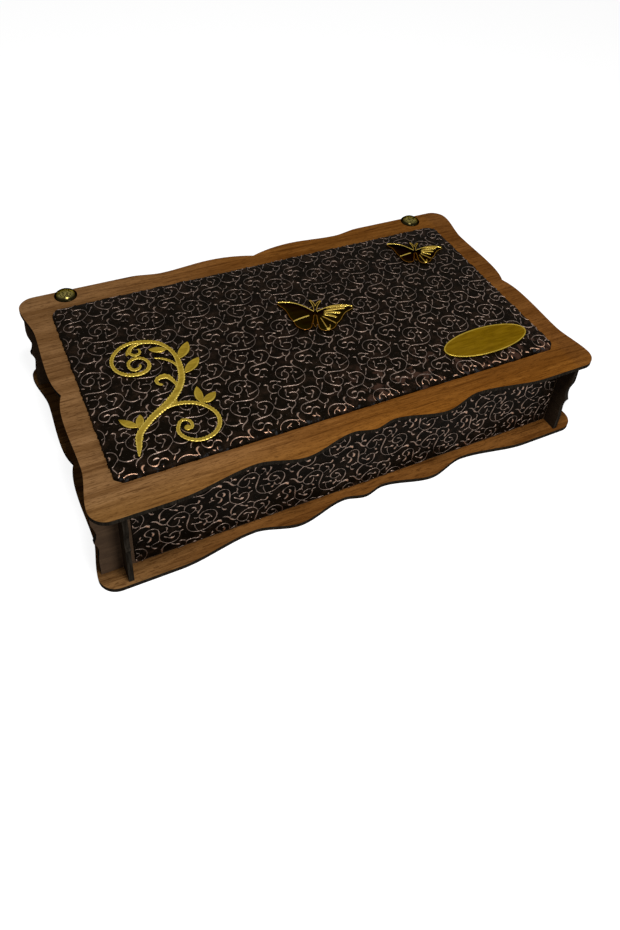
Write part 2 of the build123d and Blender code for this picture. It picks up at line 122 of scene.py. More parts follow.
def make_floor():
    """A square floor whose white is its own colour, which keeps the shadow, with a glow added."""
    mesh = bpy.data.meshes.new("floor")
    corners = [(-floor_half, -floor_half, 0), (floor_half, -floor_half, 0)]
    corners += [(floor_half, floor_half, 0), (-floor_half, floor_half, 0)]
    mesh.from_pydata(corners, [], [(0, 1, 2, 3)])
    material = bpy.data.materials.new("floor_white")
    material.use_nodes = True
    nodes = material.node_tree.nodes
    links = material.node_tree.links
    paint = nodes["Principled BSDF"]
    paint.inputs["Base Color"].default_value = (floor_grey, floor_grey, floor_grey, 1)
    paint.inputs["Roughness"].default_value = floor_roughness
    paint.inputs["Specular IOR Level"].default_value = 0.0
    glow = nodes.new("ShaderNodeEmission")
    strength = nodes.new("ShaderNodeMath")
    strength.operation = "MULTIPLY"
    strength.inputs[1].default_value = floor_glow
    links.new(white_when_seen(nodes, links), strength.inputs[0])
    links.new(strength.outputs[0], glow.inputs["Strength"])
    both = nodes.new("ShaderNodeAddShader")
    links.new(paint.outputs[0], both.inputs[0])
    links.new(glow.outputs[0], both.inputs[1])
    links.new(both.outputs[0], nodes["Material Output"].inputs["Surface"])
    mesh.materials.append(material)
    return new_object("floor", mesh)


def make_world():
    """A world that lights at its own level and is white where it is seen."""
    world = bpy.data.worlds.new("studio")
    world.use_nodes = True
    nodes = world.node_tree.nodes
    links = world.node_tree.links
    level = nodes.new("ShaderNodeMapRange")
    level.inputs["To Min"].default_value = world_level
    links.new(white_when_seen(nodes, links), level.inputs["Value"])
    links.new(level.outputs["Result"], nodes["Background"].inputs["Strength"])
    nodes["Background"].inputs["Color"].default_value = (1, 1, 1, 1)
    bpy.context.scene.world = world


def softbox(name, place, target, size, power):
    """A square lamp at place that points at target."""
    data = bpy.data.lights.new(name, "AREA")
    data.shape = "SQUARE"
    data.size = size
    data.energy = power
    lamp = bpy.data.objects.new(name, data)
    lamp.location = place
    aim = Vector(target) - Vector(place)
    lamp.rotation_euler = aim.to_track_quat("-Z", "Y").to_euler()
    bpy.context.scene.collection.objects.link(lamp)


make_floor()
make_world()
for name, lamp in softboxes.items():
    softbox(name, *lamp)
bpy.context.scene.view_settings.view_transform = "Standard"
print("floor, world and softboxes:", len(softboxes))

# %% [markdown]
# ## Making surfaces
# Every new piece is a grid of points worked out with numpy, such as rows along a line and
# columns across it. One helper turns a grid into faces, another welds the poles and turns all
# faces outward. A number for each point, such as how near it is to a rim, is kept as an
# attribute, which the finishes read.

# %% Helpers for meshes


def grid_faces(rows, columns, closed_rows=False, closed_columns=False):
    """Quads between neighbouring points of a rows by columns grid, as an array of indices."""
    r = np.arange(rows if closed_rows else rows - 1)
    c = np.arange(columns if closed_columns else columns - 1)
    r, c = np.meshgrid(r, c, indexing="ij")
    across = (c + 1) % columns
    down = (r + 1) % rows
    quads = [r * columns + c, r * columns + across, down * columns + across, down * columns + c]
    return np.stack(quads, -1).reshape(-1, 4)


def build(name, parts, marks=None, weld=1e-7):
    """One object from several (points, face arrays) parts in metres. marks holds a number per point."""
    starts = np.cumsum([0] + [len(points) for points, faces in parts])
    points = np.concatenate([points for points, faces in parts])
    polygons = []
    for (_, faces), start in zip(parts, starts):
        for group in faces:
            polygons += (np.asarray(group) + start).tolist()
    mesh = bpy.data.meshes.new(name)
    mesh.from_pydata(points.tolist(), [], polygons)
    for mark, values in (marks or {}).items():
        layer = mesh.attributes.new(mark, "FLOAT", "POINT")
        layer.data.foreach_set("value", np.concatenate(values).astype(np.float32))
    work = bmesh.new()
    work.from_mesh(mesh)
    bmesh.ops.remove_doubles(work, verts=work.verts, dist=weld)
    bmesh.ops.dissolve_degenerate(work, edges=work.edges, dist=weld)
    bmesh.ops.recalc_face_normals(work, faces=work.faces)
    work.to_mesh(mesh)
    work.free()
    mesh.polygons.foreach_set("use_smooth", np.ones(len(mesh.polygons), bool))
    mesh.update()
    triangles = sum(len(polygon.vertices) - 2 for polygon in mesh.polygons)
    print(name, "triangles:", triangles)
    return new_object(name, mesh)


print("mesh helpers ready")

# %% [markdown]
# ## Helpers for finishes
# Each finish below is a small tree of nodes around one Principled shader. The patterns read
# Object coordinates in metres, so a scale of 1000 has a feature about every millimetre.

# %% Helpers for materials


class Finish:
    """A new node material, with short calls for the nodes that the finishes share."""

    def __init__(self, name):
        self.material = bpy.data.materials.new(name)
        self.material.use_nodes = True
        self.tree = self.material.node_tree
        self.shader = self.tree.nodes["Principled BSDF"]
        self.coords = self.node("TexCoord")

    def node(self, kind, **inputs):
        """A new node, with plain values or other nodes' outputs on the sockets that are named."""
        node = self.tree.nodes.new("ShaderNode" + kind)
        for socket, value in inputs.items():
            self.feed(node.inputs[socket.replace("_", " ")], value)
        return node

    def feed(self, target, value):
        """Join an output to a socket, or write a plain value on it."""
        if isinstance(value, bpy.types.NodeSocket):
            self.tree.links.new(value, target)
        else:
            target.default_value = value

    def set(self, **values):
        """Give the shader's own sockets plain numbers, colours or the outputs of nodes."""
        for socket, value in values.items():
            self.feed(self.shader.inputs[socket.replace("_", " ")], value)

    def place(self, scale, offset=(0, 0, 0)):
        """Object coordinates, stretched by scale on each axis."""
        node = self.node("Mapping", Scale=scale, Location=offset, Vector=self.coords.outputs["Object"])
        return node.outputs["Vector"]

    def noise(self, scale, detail=3.0, roughness=0.5, twist=0.0, offset=(0, 0, 0)):
        """Cloudy noise with features per metre, on each axis or the same on all three."""
        place = self.place(scale if isinstance(scale, tuple) else (scale,) * 3, offset)
        node = self.node("TexNoise", Vector=place, Scale=1.0, Detail=detail, Roughness=roughness,
                         Distortion=twist)
        return node.outputs["Fac"]

    def cells(self, scale):
        """Distance to the nearest of many scattered points, for a pebbled grain."""
        return self.node("TexVoronoi", Vector=self.place((scale,) * 3), Scale=1.0).outputs["Distance"]

    def mark(self, name):
        """A number kept on the mesh."""
        node = self.node("Attribute")
        node.attribute_name = name
        return node.outputs["Fac"]

    def ramp(self, value, low, high, from_value=0.0, to_value=1.0):
        """A smooth step from from_value to to_value as value goes from low to high."""
        node = self.node("MapRange", Value=value, From_Min=low, From_Max=high, To_Min=from_value,
                         To_Max=to_value)
        node.interpolation_type = "SMOOTHSTEP"
        return node.outputs["Result"]

    def mix(self, share, first, second, blend="MIX"):
        """A colour that goes from first to second with share."""
        node = self.node("Mix")
        node.data_type = "RGBA"
        node.blend_type = blend
        for socket, value in zip((0, 6, 7), (share, first, second)):
            self.feed(node.inputs[socket], (*value, 1) if isinstance(value, tuple) else value)
        return node.outputs[2]

    def tint(self, first, second):
        """One colour times another."""
        return self.mix(1.0, first, second, "MULTIPLY")

    def across(self, axis, low, high):
        """Nought where the X, Y or Z of the object is low, one where it is high."""
        node = self.node("SeparateXYZ", Vector=self.coords.outputs["Object"])
        return self.ramp(node.outputs[axis], low, high)

    def maths(self, operation, first, second=0.0):
        """One step of arithmetic, such as ADD or MAXIMUM."""
        node = self.node("Math")
        node.operation = operation
        self.feed(node.inputs[0], first)
        self.feed(node.inputs[1], second)
        return node.outputs[0]

    def times(self, first, second):
        """One number times another."""
        return self.maths("MULTIPLY", first, second)

    def bump(self, height, distance, strength=1.0, **under):
        """Surface relief of the given height in metres, over another relief, Normal, if there is one."""
        node = self.node("Bump", Distance=distance, Strength=strength, Height=height, **under)
        return node.outputs["Normal"]

    def facing(self, axis):
        """How squarely the surface faces along an axis of the object, from nought to one."""
        dot = self.node("VectorMath")
        dot.operation = "DOT_PRODUCT"
        dot.inputs[1].default_value = axis
        self.feed(dot.inputs[0], self.coords.outputs["Normal"])
        return self.maths("ABSOLUTE", dot.outputs["Value"])


print("material helpers ready")

# %% [markdown]
# ## Walnut-faced board
# The board is thin fibreboard with a walnut face. The grain is long soft streaks with short dark
# pores, all along the box. The laser leaves the cut edges burnt almost black. Noise stretched
# along the grain gives the streaks, and the surface's own direction tells a face from an edge,
# which holds in every pose because it is read in the object's own frame.

# %% Finish the boards
walnut_light = (0.330, 0.160, 0.048)
walnut_middle = (0.228, 0.098, 0.023)
walnut_dark = (0.080, 0.029, 0.006)
burnt_edge = (0.0145, 0.0115, 0.0085)
scorched_edge = (0.029, 0.0235, 0.0175)
ear_light = (0.180, 0.112, 0.064)
ear_dark = (0.078, 0.048, 0.030)
# Darker board colours, painted shade: they stand in for the shade under the lid on the end walls
shaded_board_light = (0.055, 0.035, 0.020)
shaded_board_dark = (0.028, 0.018, 0.011)
plain_tint = (1.0, 1.0, 1.0)
# Painted light on the lid: bluish sheen at left, darker to the right, brighter front, darker right edge
lid_painted_light = [
    ("X", -0.19, 0.03, (0.94, 1.08, 1.60), (0.86, 0.73, 0.50)),
    ("Y", -0.100, -0.080, (1.14, 1.11, 0.90), plain_tint),
    ("X", 0.150, 0.157, plain_tint, (0.87, 0.89, 1.12)),
]
# Painted light on the bottom: bluish sheen at left, darker to the right, painted shade under the lid
bottom_painted_light = [
    ("X", -0.19, -0.03, (0.94, 1.05, 1.35), (0.84, 0.74, 0.60)),
    ("Y", -0.100, -0.080, (0.93, 0.93, 0.95), (0.80, 0.78, 0.78)),
]
# Features per metre along the grain and across it
grain_bands = (6, 90)
grain_streaks = (24, 520)
grain_pores = (150, 1500)
grain_flecks = (420, 3600)
along_x = (1, 0, 0)
along_y = (0, 1, 0)
along_z = (0, 0, 1)


def grain_scale(grain, along, across):
    """Features per metre: few along the grain and many across it."""
    return tuple(along if axis else across for axis in grain)


def board_finish(name, grain, broad, light, middle, dark, offset, painted_light_zones=()):
    """Grain on the broad faces, and burnt fibre on the faces between them.

    Each zone has an axis, two places along it and a tint at each, and the veneer goes smoothly
    from one to the other. The zones are painted light and shade, not the veneer's own colour."""
    finish = Finish(name)
    bands = finish.noise(grain_scale(grain, *grain_bands), 3, 0.55, 0.6, offset)
    streaks = finish.noise(grain_scale(grain, *grain_streaks), 6, 0.65, 0.25, offset)
    pores = finish.noise(grain_scale(grain, *grain_pores), 3, 0.6, 0.0, offset)
    flecks = finish.noise(grain_scale(grain, *grain_flecks), 2, 0.5, 0.0, offset)
    dashes = finish.ramp(pores, 0.53, 0.66, 0.0, 0.7)
    tone = finish.mix(finish.ramp(bands, 0.34, 0.68), dark, light)
    tone = finish.mix(0.6, tone, middle)
    tone = finish.mix(finish.ramp(streaks, 0.50, 0.70, 0.0, 0.88), tone, dark)
    tone = finish.mix(finish.ramp(streaks, 0.46, 0.30, 0.0, 0.6), tone, light)
    tone = finish.mix(dashes, tone, dark)
    tone = finish.mix(finish.times(finish.ramp(flecks, 0.55, 0.68), 0.55), tone, dark)
    for axis, low, high, first, second in painted_light_zones:
        tone = finish.tint(finish.mix(finish.across(axis, low, high), first, second), tone)
    scorch = finish.noise((1100, 1100, 60), 2, 0.5)
    edge = finish.mix(finish.ramp(scorch, 0.35, 0.7), burnt_edge, scorched_edge)
    face = finish.ramp(finish.facing(broad), 0.55, 0.7)
    finish.set(
        Base_Color=finish.mix(face, edge, tone),
        Roughness=finish.ramp(streaks, 0.3, 0.7, 0.42, 0.56),
        Specular_IOR_Level=0.0,
        Normal=finish.bump(finish.maths("ADD", dashes, streaks), -0.0001, 0.8),
    )
    return finish.material


def wear(node, material):
    """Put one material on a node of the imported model."""
    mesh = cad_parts[node].data
    mesh.materials.clear()
    mesh.materials.append(material)


walnut = (walnut_light, walnut_middle, walnut_dark)
inner = (shaded_board_light, shaded_board_dark, shaded_board_dark)
ear = (ear_light, ear_dark, ear_dark)
wear("lid_plate", board_finish("walnut_lid", along_x, along_z, *walnut, (0, 0, 0), lid_painted_light))
wear("bottom_plate", board_finish("walnut_bottom", along_x, along_z, *walnut, (3, 1, 2), bottom_painted_light))
for node in ("front_wall", "back_wall"):
    wear(node, board_finish(f"board_{node}", along_x, along_y, *ear, (5, 2, 1)))
# The end walls take the darker board colours, painted shade
for node in ("left_end_wall", "right_end_wall"):
    wear(node, board_finish(f"board_{node}", along_y, along_x, *inner, (1, 6, 3)))
print("boards finished")

# %% [markdown]
# ## The embossed scrolls
# The leatherette is embossed with one motif of curled tendrils that repeats on a slanted lattice.
# It could be a bump texture, but the real lines stand up and catch the light, so each line is a
# low rib with a rounded crest. The lines are drawn as smooth strokes through a few
# points with a width at each. One set of strokes is sampled once, repeated over the lattice,
# and then bent over each panel's edges together with the sheet under it.

# %% The motif, in millimetres: x, y and width along each stroke
lattice = np.array([(31.75, 1.25), (-16.0, 42.25)])
motif = [
    # the big ring and the hook inside it
    [(-9.1, 11.2, 1.1), (-11.3, 11.4, 0.9), (-13.4, 12.6, 1.0), (-16.0, 13.3, 1.1), (-19.0, 12.8, 0.9),
     (-21.5, 11.0, 0.8), (-22.8, 8.2, 0.8), (-22.7, 5.4, 0.8), (-20.9, 3.1, 1.0), (-18.5, 2.3, 1.2),
     (-16.6, 3.2, 1.0), (-15.3, 5.2, 0.8), (-15.4, 7.3, 0.8), (-17.2, 9.1, 1.0)],
    [(-19.5, 5.4, 1.3), (-19.2, 7.2, 1.1), (-18.3, 8.6, 0.9), (-16.9, 9.3, 0.9), (-15.8, 9.9, 1.2),
     (-14.6, 10.5, 0.9)],
    [(-18.5, 2.3, 1.0), (-18.6, 0.9, 0.9), (-19.5, -1.2, 0.8)],
    # the long tendril that ends the ring's neighbour
    [(-6.9, 16.4, 1.1), (-8.5, 15.9, 1.7), (-9.2, 14.6, 1.5), (-9.1, 12.8, 0.9), (-9.0, 11.3, 1.1),
     (-8.2, 10.0, 0.9), (-6.8, 8.2, 0.8), (-5.9, 6.2, 0.8), (-5.6, 4.2, 0.9), (-5.9, 1.6, 0.8),
     (-6.8, -1.0, 0.8), (-8.6, -3.2, 0.8), (-11.2, -4.7, 0.9), (-14.6, -5.1, 1.1), (-17.8, -4.5, 1.2),
     (-21.0, -3.8, 1.1), (-23.5, -3.4, 1.1)],
    # inside the big ring
    [(-11.3, 11.3, 0.7), (-11.1, 10.0, 0.6), (-10.7, 9.1, 0.9), (-11.2, 7.9, 1.0), (-12.3, 7.1, 1.3),
     (-13.7, 6.8, 1.3)],
    [(-11.5, 7.5, 0.9), (-11.0, 6.5, 0.9), (-10.0, 5.6, 1.7), (-9.0, 5.8, 1.2)],
    [(-12.7, 4.4, 1.1), (-13.4, 3.2, 1.5), (-13.4, 1.8, 0.9), (-13.6, 0.3, 0.7), (-14.1, -1.3, 0.9),
     (-13.7, -2.7, 1.5)],
    [(-13.6, -0.3, 0.7), (-11.4, -0.2, 1.1), (-9.0, 0.5, 0.9), (-6.1, 2.0, 0.9)],
    [(-5.6, 4.1, 0.8), (-4.4, 4.2, 0.9), (-3.4, 5.2, 1.1), (-3.0, 6.7, 1.1)],
    # the crook and the second ring
    [(-2.0, 3.1, 1.0), (-1.0, 3.3, 1.5), (0.1, 2.8, 1.3), (0.3, 1.5, 0.9), (-0.3, 0.1, 0.9),
     (-0.8, -1.6, 0.9), (-0.6, -3.3, 0.9), (0.1, -4.9, 1.2), (1.9, -5.4, 0.9), (3.7, -5.5, 1.2)],
    [(8.2, -2.2, 1.2), (6.2, -3.5, 0.8), (4.3, -5.2, 1.0), (3.5, -7.5, 0.8), (3.8, -9.9, 0.8),
     (4.9, -11.9, 0.9), (6.6, -13.6, 1.1), (8.4, -14.9, 1.1), (10.2, -15.7, 1.2), (12.2, -14.8, 0.8),
     (13.8, -13.2, 0.8), (14.5, -11.3, 0.8), (14.1, -9.7, 0.9), (12.7, -8.8, 1.0), (11.1, -8.4, 1.1),
     (9.7, -8.5, 0.9)],
    [(9.5, -4.7, 1.1), (8.8, -5.7, 1.6), (8.8, -7.1, 0.8), (8.1, -8.3, 0.9), (7.4, -9.5, 0.9),
     (7.7, -10.8, 1.1), (8.8, -11.5, 1.7)],
    [(13.2, -5.9, 1.4), (13.7, -6.5, 1.4)],
    [(14.2, -9.5, 0.8), (15.4, -8.9, 0.9), (16.5, -8.1, 1.6), (16.6, -6.9, 1.1)],
    [(0.1, -4.9, 1.0), (-1.4, -6.3, 0.8), (-2.2, -8.3, 1.0), (-1.9, -10.0, 0.8)],
    [(1.5, -8.9, 1.0), (0.8, -10.0, 1.5), (-0.1, -11.6, 0.8), (-1.1, -13.3, 1.2), (-2.1, -14.6, 0.9)],
    # the pair of leaves beside it
    [(2.7, 4.0, 0.9), (3.9, 4.9, 1.3), (5.4, 4.8, 1.2), (6.7, 4.0, 0.7), (7.8, 3.2, 1.3),
     (8.8, 2.9, 1.4), (9.6, 2.2, 0.9)],
    [(3.0, -1.3, 1.1), (3.1, 0.1, 1.3), (3.9, 1.2, 1.1), (5.2, 1.4, 1.0), (6.2, 0.5, 0.9),
     (7.2, -0.8, 0.8), (8.1, -2.1, 1.0)],
    [(5.6, 1.4, 0.8), (6.6, 1.9, 0.8), (7.5, 2.9, 1.0)],
    # the arc below and the tail of the second ring
    [(10.2, -15.8, 1.0), (10.4, -17.1, 1.0), (9.8, -18.5, 1.2), (8.7, -19.7, 1.3), (7.0, -20.8, 1.2),
     (5.6, -22.0, 1.2), (4.8, -23.4, 1.1), (4.4, -25.3, 0.8)],
    [(-3.3, -16.6, 1.2), (-2.2, -18.1, 1.0), (-0.8, -19.3, 1.1), (0.9, -20.0, 1.3), (2.8, -20.1, 1.3),
     (4.7, -19.7, 0.9), (6.0, -20.0, 0.8), (6.9, -20.8, 0.9)],
    [(6.2, -16.5, 1.0), (5.4, -17.3, 1.6), (5.2, -18.4, 1.2), (5.5, -19.7, 0.9)],
    # the third curl, its stem and the bow
    [(-12.0, -6.8, 1.0), (-11.5, -8.2, 1.0), (-10.8, -9.6, 1.2)],
    [(-10.8, -9.6, 1.2), (-8.0, -9.3, 1.1), (-5.8, -9.9, 1.0), (-4.2, -11.3, 0.9), (-3.4, -13.1, 0.8),
     (-3.2, -14.8, 0.8), (-3.4, -16.6, 1.2), (-4.6, -17.8, 0.8), (-6.1, -19.5, 0.8), (-8.0, -21.0, 1.1),
     (-10.6, -21.4, 1.0), (-13.2, -21.4, 1.3), (-15.5, -21.6, 1.2), (-17.9, -22.0, 0.9),
     (-19.9, -23.4, 0.8), (-20.9, -25.6, 0.8), (-20.6, -27.8, 0.8), (-19.4, -29.3, 1.0),
     (-17.8, -30.0, 1.3), (-16.3, -29.7, 1.2), (-15.1, -28.3, 0.8), (-14.0, -27.0, 1.0),
     (-12.6, -26.5, 1.4), (-11.2, -26.7, 1.5), (-10.2, -27.8, 1.3), (-10.0, -29.0, 0.9)],
    [(-17.9, -26.1, 0.9), (-17.0, -25.3, 1.3), (-15.8, -24.9, 1.6), (-14.8, -25.2, 1.5),
     (-14.4, -26.1, 0.9)],
    [(-10.8, -9.7, 1.0), (-12.0, -10.9, 0.8), (-12.3, -12.5, 0.8), (-11.7, -14.2, 0.9),
     (-10.5, -15.2, 1.2), (-9.2, -15.5, 1.1)],
    [(-8.4, -12.5, 1.1), (-7.5, -13.2, 1.5), (-7.4, -14.5, 1.4), (-8.3, -15.7, 0.9), (-9.1, -16.8, 0.9),
     (-9.9, -18.0, 1.3), (-10.8, -18.9, 1.0)],
    # the fork and the twig over it
    [(-8.0, -21.1, 1.0), (-7.5, -22.6, 1.0), (-6.8, -24.5, 1.0), (-6.3, -26.0, 0.9)],
    [(-6.2, -26.2, 0.8), (-4.6, -26.0, 0.9), (-3.0, -25.3, 1.2), (-2.1, -24.2, 1.3),
     (-2.3, -22.8, 1.1)],
    [(-5.2, -26.5, 0.8), (-6.1, -28.0, 1.3), (-7.3, -29.5, 1.0)],
    [(-2.9, 25.8, 1.0), (-2.0, 26.6, 1.2), (-0.6, 26.6, 1.2), (0.6, 26.1, 1.0), (1.6, 26.6, 1.1),
     (2.6, 27.3, 1.2)],
    [(0.7, 26.1, 1.0), (1.1, 24.9, 1.2), (1.6, 23.2, 0.8), (2.2, 22.2, 1.0)],
    # the three-lobed leaf
    [(2.3, 12.8, 1.3), (2.0, 11.8, 1.1), (1.9, 10.9, 0.8), (2.5, 10.0, 1.0), (3.3, 9.1, 1.3)],
    [(-1.1, 11.4, 1.0), (0.0, 10.8, 1.5), (1.1, 10.6, 0.9), (2.0, 10.8, 0.7)],
]
print("strokes in the motif:", len(motif))

# %% Draw smooth strokes


def smooth_line(points, step):
    """A smooth line through the points, sampled about every step.

    Each stretch is a cubic. Its slope at a point lies between the directions of the two chords
    that meet there, and is longer the more the line turns, by one over the squared cosine of a
    quarter of the turn, which makes a stretch of even bend a near circle. At an end the slope is
    the neighbour's, mirrored in the chord. Further numbers, such as a width, go evenly."""
    points = np.array(points, float)
    chords = np.diff(points[:, :2], axis=0)
    gaps = np.hypot(*chords.T)
    ways = chords / gaps[:, None]
    slopes = np.tile(ways[:1], (len(points), 1))
    if len(points) > 2:
        inner = ways[:-1] * gaps[1:, None] + ways[1:] * gaps[:-1, None]
        inner /= np.hypot(*inner.T)[:, None]
        first = 2 * ways[0] * (ways[0] @ inner[0]) - inner[0]
        last = 2 * ways[-1] * (ways[-1] @ inner[-1]) - inner[-1]
        turn = np.arccos(np.clip((ways[:-1] * ways[1:]).sum(1), -1, 1))
        turn = np.concatenate([turn[:1], turn, turn[-1:]])
        slopes = np.concatenate([[first], inner, [last]]) / (np.cos(turn / 4) ** 2)[:, None]
    stops = np.concatenate([[0.0], np.cumsum(gaps)])
    count = max(3, int(round(stops[-1] / step)) + 1)
    along = np.linspace(0, stops[-1], count)
    index = np.clip(np.searchsorted(stops, along, "right") - 1, 0, len(gaps) - 1)
    t = ((along - stops[index]) / gaps[index])[:, None]
    run = gaps[index][:, None]
    start = (2 * t**3 - 3 * t**2 + 1) * points[index, :2] + (t**3 - 2 * t**2 + t) * run * slopes[index]
    end = (3 * t**2 - 2 * t**3) * points[index + 1, :2] + (t**3 - t**2) * run * slopes[index + 1]
    rest = points[index, 2:] * (1 - t) + points[index + 1, 2:] * t
    return np.concatenate([start + end, rest], 1)


def left_of(line):
    """The unit direction to the left of a flat line at each of its points."""
    way = np.gradient(line[:, :2], axis=0)
    way /= np.hypot(*way.T)[:, None]
    return np.stack([-way[:, 1], way[:, 0]], -1)


def run_along(line):
    """The distance along a flat line at each of its points."""
    return np.concatenate([[0.0], np.cumsum(np.hypot(*np.diff(line[:, :2], axis=0).T))])


least_end = 0.03


def swept(line, across, up, sink_ends=True):
    """A strip carried along a flat line of x, y and width.

    across holds places from -1 to 1 of half the width, up the height at each. The width shrinks
    over the last half width of each end, like a half circle, and so does the height where the
    ends sink. Returns places (n, k, 3)."""
    along = run_along(line)
    near_end = np.minimum(along, along[-1] - along) / (0.5 * line[:, 2])
    shrink = np.sqrt(1 - (1 - np.clip(near_end, least_end, 1)) ** 2)
    half = (line[:, 2] / 2 * shrink)[:, None]
    spread = left_of(line)[:, None, :] * (half * across)[:, :, None]
    places = line[:, None, :2] + spread
    fade = np.sqrt(shrink)[:, None] if sink_ends else np.ones((len(line), 1))
    return np.concatenate([places, (up * fade)[:, :, None]], -1)


print("stroke helpers ready")

# %% Turn the motif into ribs
rib_step = 0.8
rib_height = 0.45
rib_sink = 0.12
rib_foot = 1.2
rib_shoulder = 0.44
shoulder_share = 0.8
thinnest_line = 0.5
emphasis = 1.35
thinning = 0.48
thin_width = 0.75
stout_range = 0.55
stoutest = 1.5
rib_across = np.array([-rib_foot, -rib_shoulder, 0.0, rib_shoulder, rib_foot])
shoulder_height = shoulder_share * rib_height
rib_up = np.array([-rib_sink, shoulder_height, rib_height, shoulder_height, -rib_sink])
rib_crest = np.array([0.0, shoulder_share, 1.0, shoulder_share, 0.0])


def emphasised(stroke):
    """The stroke with its thin parts thinner and its thick parts thicker, as the sheet shows them."""
    return [(x, y, max(thinnest_line, emphasis * width - thinning)) for x, y, width in stroke]


motif_lines = [smooth_line(emphasised(stroke), rib_step) for stroke in motif]
motif_ribs = [swept(line, rib_across, rib_up) for line in motif_lines]
motif_rings = np.concatenate(motif_ribs)
ring_stroke = np.repeat(np.arange(len(motif)), [len(rib) for rib in motif_ribs])
ring_width = np.hypot(*(motif_rings[:, -1, :2] - motif_rings[:, 0, :2]).T) / rib_foot
# How stout each ring is: nought in the thin lines and more in the leaf-shaped ends
ring_stout = np.clip((ring_width - thin_width) / stout_range, 0, stoutest)
print("rings in one motif:", len(motif_rings))

# %% [markdown]
# ## The wrapped panels
# A panel is a sheet that lies flat and bends down over its edges. A point of the flat sheet is
# kept where it lies inside the outline. Outside it, its distance from the outline becomes an
# arc round the edge and then a straight drop. The outline is a rectangle with its corners cut
# off, and a soft maximum of the distances to its sides rounds the places where they meet. The
# same rule bends the sheet, its inner face and every rib, so they stay together.

# %% Bend a flat sheet over the edges of a panel
side_blend = 3.0
shoulder_reach = 3.5
sheet_spacing = 6.0
bend_steps = 9
fine_places = np.array([12.0, 8.0, 5.5, 3.5, 2.0, 1.0])
# Radians per millimetre and start of the two waves that make the ripple along each side
waves_along = (0.47, 0.6, 0.19, 0.0)
waves_across = (0.43, 0.0, 0.17, 1.0)


def ripple_wave(place, fast, fast_start, slow, slow_start):
    """A quick sine times a slow one, so that the ripple swells and fades."""
    return np.sin(fast * place + fast_start) * np.sin(slow * place + slow_start)


class Panel:
    """A leatherette panel on a board. Its frame has a along it, b across it and h outward.

    half is half its size, skirt the straight drop below the bend, and shoulder how far the flat
    part sinks towards its edge. phase and turn place the pattern, and bold makes its stout parts
    fuller. ripple is the height, in millimetres, of the wave along each side of the outline."""

    def __init__(self, middle, right, up, half, corner_cut, edge_radius, phase, bold, turn=0.0, skirt=0.0,
                 shoulder=0.0, ripple=0.0):
        self.middle = np.array(middle, float)
        self.axes = np.array([right, up, np.cross(right, up)], float)
        self.flat = np.array(half, float) - edge_radius
        self.cut = self.flat.sum() - corner_cut
        self.core = edge_radius - rib_height
        self.skirt = skirt
        self.shoulder = shoulder
        self.phase = phase
        cos, sin = np.cos(np.radians(turn)), np.sin(np.radians(turn))
        self.spin = np.array([(cos, sin), (-sin, cos)])
        self.ripple = ripple
        self.bold = bold
        self.reach = self.core * np.pi / 2 + skirt

    def beyond(self, a, b):
        """Distance beyond the flat part, as a soft maximum over its sides, and its direction."""
        diagonal = (np.abs(a) + np.abs(b) - self.cut) / np.sqrt(2)
        sides = np.stack([np.abs(a) - self.flat[0], np.abs(b) - self.flat[1], diagonal])
        weights = np.exp(side_blend * (sides - sides.max(0)))
        total = weights.sum(0)
        distance = sides.max(0) + np.log(total) / side_blend
        toward_a = np.sign(a) * (weights[0] + weights[2] / np.sqrt(2))
        toward_b = np.sign(b) * (weights[1] + weights[2] / np.sqrt(2))
        size = np.hypot(toward_a, toward_b) + 1e-9
        wave = ripple_wave(a, *waves_along) + ripple_wave(b, *waves_across)
        return distance + self.ripple * wave, toward_a / size, toward_b / size

    def bend(self, a, b, h):
        """Place of a point a, b of the flat sheet at height h over it, in metres."""
        distance, toward_a, toward_b = self.beyond(a, b)
        over = np.clip(distance, 0, None)
        angle = np.clip(over / self.core, 0, np.pi / 2)
        drop = np.clip(over - self.core * np.pi / 2, 0, None)
        back = np.where(distance > 0, (self.core + h) * np.sin(angle) - over, 0.0)
        sag = self.shoulder * np.exp(np.minimum(distance, 0) / shoulder_reach)
        height = (self.core + h) * np.cos(angle) - self.core - drop - sag
        local = np.stack([a + toward_a * back, b + toward_b * back, height - rib_height], -1)
        return (self.middle + local @ self.axes) * mm


def edge_steps(half, reach):
    """Places along one side: coarse in the middle and fine where the sheet bends."""
    near = half - fine_places
    far = half + np.linspace(0, reach, bend_steps)
    inner = np.linspace(0, near[0], max(2, int(near[0] / sheet_spacing)), endpoint=False)
    right = np.concatenate([inner, near, far])
    return np.concatenate([-right[:0:-1], right])


def sheet_grid(panel):
    """A grid over the flat sheet, whose outer points are drawn in to where the skirt ends."""
    sides = [edge_steps(half, panel.reach) for half in panel.flat]
    a, b = np.meshgrid(*sides, indexing="ij")
    distance, toward_a, toward_b = panel.beyond(a, b)
    past = np.clip(distance - panel.reach, 0, None)
    return a - toward_a * past, b - toward_b * past


def slab(top, under):
    """One closed part from a grid of points over another, with a wall between their rims."""
    rows, columns = top.shape[:2]
    count = rows * columns
    quads = grid_faces(rows, columns)
    index = np.arange(count).reshape(rows, columns)
    rim = np.concatenate([index[0, :], index[1:, -1], index[-1, -2::-1], index[-2:0:-1, 0]])
    after = np.roll(rim, -1)
    wall = np.stack([rim, rim + count, after + count, after], -1)
    points = np.concatenate([top.reshape(-1, 3), under.reshape(-1, 3)])
    return points, [np.concatenate([quads, quads[:, ::-1] + count, wall])]


def sheet_shell(panel, thickness):
    """The sheet with its outer and inner face and the rim between them."""
    a, b = sheet_grid(panel)
    level = np.zeros_like(a)
    return slab(panel.bend(a, b, level), panel.bend(a, b, level - thickness))


print("panels can be bent")

